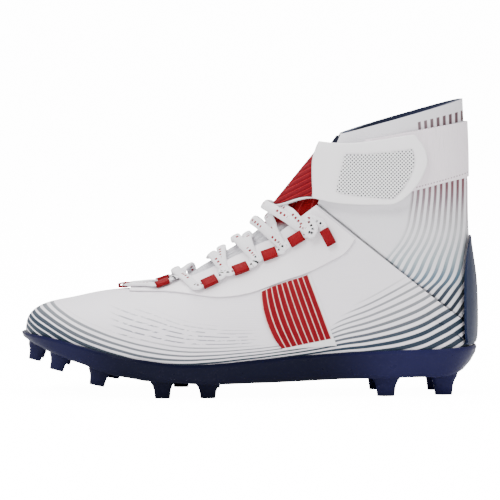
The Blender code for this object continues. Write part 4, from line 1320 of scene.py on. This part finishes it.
    def toe_stops(self, start: Vector) -> list[Stop]:
        """Run from one first loop through the toe loop to the other.

        Args:
            start: Where the lace leaves the first loop.

        Returns:
            Stops of the run.
        """
        tree = self.search_tree("lace_toe")
        middle, _, _ = self.loop_frame("lace_loop_toe")
        first, half, _ = self.loop_frame("lace_loop_medial_1" if start.y < 0 else "lace_loop_lateral_1")
        up = Vector((-0.1, 0.0, 1.0)).normalized()
        stops = []
        for a, b in ((start, middle), (middle, first - half)):
            for share in self.TOE_SHARES:
                place, _, _, _ = tree.find_nearest(a.lerp(b, share) + up * 0.002)
                stops.append(Stop(place, up, self.TOE_FULLNESS))
            if b is middle:
                stops.append(Stop(middle, up, 0.0))
        return stops

    def trace(self) -> list[Stop]:
        """Smooth curve through the stops of the route.

        Returns:
            Closely spaced stops.
        """
        stops = self.route()
        last = len(stops) - 1
        fine: list[Stop] = []
        for i in range(last):
            a, b, c, d = (stops[min(max(i + k, 0), last)] for k in (-1, 0, 1, 2))
            for step in range(self.STEPS):
                t = step / self.STEPS
                place = 0.5 * (2 * b.place + (c.place - a.place) * t
                               + (2 * a.place - 5 * b.place + 4 * c.place - d.place) * t * t
                               + (3 * b.place - a.place - 3 * c.place + d.place) * t ** 3)
                out = ((a.out + 2 * b.out + c.out) * (1 - t) + (b.out + 2 * c.out + d.out) * t).normalized()
                fine.append(Stop(place, out, b.fullness + (c.fullness - b.fullness) * t,
                                 b.turn + (c.turn - b.turn) * t))
        fine.append(stops[-1])
        return fine

    def run_lace(self) -> None:
        """Sweep the lace's section along its route."""
        sizes = self.sizes
        fine = self.trace()
        verts: list[Vector] = []
        faces: list[tuple[int, ...]] = []
        values: dict[str, list[float]] = {"lace_along": [], "lace_across": [], "lace_turn": []}
        length = 0.0
        count = sizes.section_points
        for i, stop in enumerate(fine):
            before, after = fine[max(i - 1, 0)].place, fine[min(i + 1, len(fine) - 1)].place
            tangent = (after - before).normalized()
            over = tangent.cross(stop.out).normalized()
            rise = over.cross(tangent).normalized()
            wide = sizes.loop_width + (sizes.width - sizes.loop_width) * stop.fullness
            thick = sizes.loop_thickness + (sizes.thickness - sizes.loop_thickness) * stop.fullness
            if i:
                length += (stop.place - fine[i - 1].place).length
            for k in range(count):
                angle = 2 * pi * k / count
                flat = abs(cos(angle)) ** sizes.roundness * (1 if cos(angle) > 0 else -1)
                verts.append(stop.place + over * (flat * wide / 2) + rise * (sin(angle) * thick / 2))
                values["lace_along"].append(length)
                values["lace_across"].append(flat)
                values["lace_turn"].append(stop.turn)
            if i:
                base = (i - 1) * count
                for k in range(count):
                    faces.append((base + k, base + (k + 1) % count,
                                  base + count + (k + 1) % count, base + count + k))
        faces.append(tuple(range(count))[::-1])
        faces.append(tuple(range(len(verts) - count, len(verts))))
        mesh = bpy.data.meshes.new("lace")
        mesh.from_pydata(verts, [], faces)
        for name, numbers in values.items():
            mesh.attributes.new(name, "FLOAT", "POINT").data.foreach_set("value", numbers)
        lace = bpy.data.objects.new("lace", mesh)
        bpy.context.scene.collection.objects.link(lace)
        select_only(lace)
        bpy.ops.object.mode_set(mode="EDIT")
        bpy.ops.mesh.select_all(action="SELECT")
        bpy.ops.mesh.normals_make_consistent(inside=False)
        bpy.ops.object.mode_set(mode="OBJECT")
        bpy.ops.object.shade_smooth_by_angle(angle=radians(60))
        wear(lace, LACE_BRAID)
        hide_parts("lace_toe", *[f"lace_cross_{number}" for number in range(1, self.LOOPS)])
        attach(lace, "root")
        log.info("lace: %.3f m over %d loops", length, 2 * self.LOOPS + 1)


@dataclass(frozen=True)
class Lamp:
    """A soft area light."""

    name: str
    place: tuple[float, float, float]
    size: float
    watts: float


class Studio:
    """Pale floor, soft lights and the camera at the photo's angle."""

    LAMPS = (
        Lamp("key", (-0.9, -1.2, 1.7), 1.1, 40.0),
        Lamp("fill", (1.6, -1.3, 0.7), 1.0, 7.0),
        Lamp("top", (0.0, 0.3, 1.9), 1.4, 44.0),
    )
    AMBIENT = 0.85
    FLOOR_SIZE = 90.0
    FLOOR_GLOW = 14.0
    AIM = Vector((-0.0003, 0.0, 0.0938))
    DISTANCE = 2.6
    AZIMUTH = 0.0
    ELEVATION = 4.0
    VIEW_WIDTH = 0.3285
    SENSOR = 36.0

    def build(self) -> None:
        """Set up the stage, the lights and the camera."""
        self.add_floor()
        for lamp in self.LAMPS:
            self.add_lamp(lamp)
        self.add_camera()
        world = bpy.data.worlds.new("studio")
        world.use_nodes = True
        world.node_tree.nodes["Background"].inputs["Color"].default_value = (1, 1, 1, 1)
        world.node_tree.nodes["Background"].inputs["Strength"].default_value = self.AMBIENT
        bpy.context.scene.world = world

    def add_floor(self) -> None:
        """Large flat floor under the shoe."""
        bpy.ops.mesh.primitive_plane_add(size=self.FLOOR_SIZE, location=(0, 0, 0))
        floor = bpy.context.active_object
        floor.name = "floor"
        material = bpy.data.materials.new("floor_paper")
        material.use_nodes = True
        shader = material.node_tree.nodes["Principled BSDF"]
        graph = Graph(material.node_tree)
        shader.inputs["Base Color"].default_value = (0.93, 0.93, 0.93, 1)
        shader.inputs["Emission Color"].default_value = (1, 1, 1, 1)
        seen = material.node_tree.nodes.new("ShaderNodeLightPath").outputs["Is Camera Ray"]
        graph.feed(shader.inputs["Emission Strength"], graph.times(seen, self.FLOOR_GLOW))
        graph.feed(shader.inputs["Roughness"], graph.math("MULTIPLY_ADD", graph.noise(8, 2), 0.05, 0.75))
        floor.data.materials.append(material)

    def add_lamp(self, lamp: Lamp) -> None:
        """Add one area light that looks at the shoe.

        Args:
            lamp: The light.
        """
        bpy.ops.object.light_add(type="AREA", location=lamp.place)
        light = bpy.context.active_object
        light.name = lamp.name
        light.data.size = lamp.size
        light.data.energy = lamp.watts
        light.rotation_euler = (self.AIM - Vector(lamp.place)).to_track_quat("-Z", "Y").to_euler()

    def add_camera(self) -> None:
        """Camera at the photo's angle and distance."""
        turn, rise = radians(self.AZIMUTH), radians(self.ELEVATION)
        away = Vector((sin(turn) * cos(rise), -cos(turn) * cos(rise), sin(rise)))
        bpy.ops.object.camera_add(location=self.AIM + away * self.DISTANCE)
        camera = bpy.context.active_object
        camera.rotation_euler = (-away).to_track_quat("-Z", "Y").to_euler()
        camera.data.sensor_width = self.SENSOR
        camera.data.lens = self.SENSOR * self.DISTANCE / self.VIEW_WIDTH
        bpy.context.scene.camera = camera


def main() -> None:
    """Dress the shoe and set up the studio."""
    logging.basicConfig(level=logging.INFO)
    for assembly in (Studio(), Sole(), Foot(), Ankle(), Strap(), Lacing()):
        assembly.build()


if __name__ == "__main__":
    main()
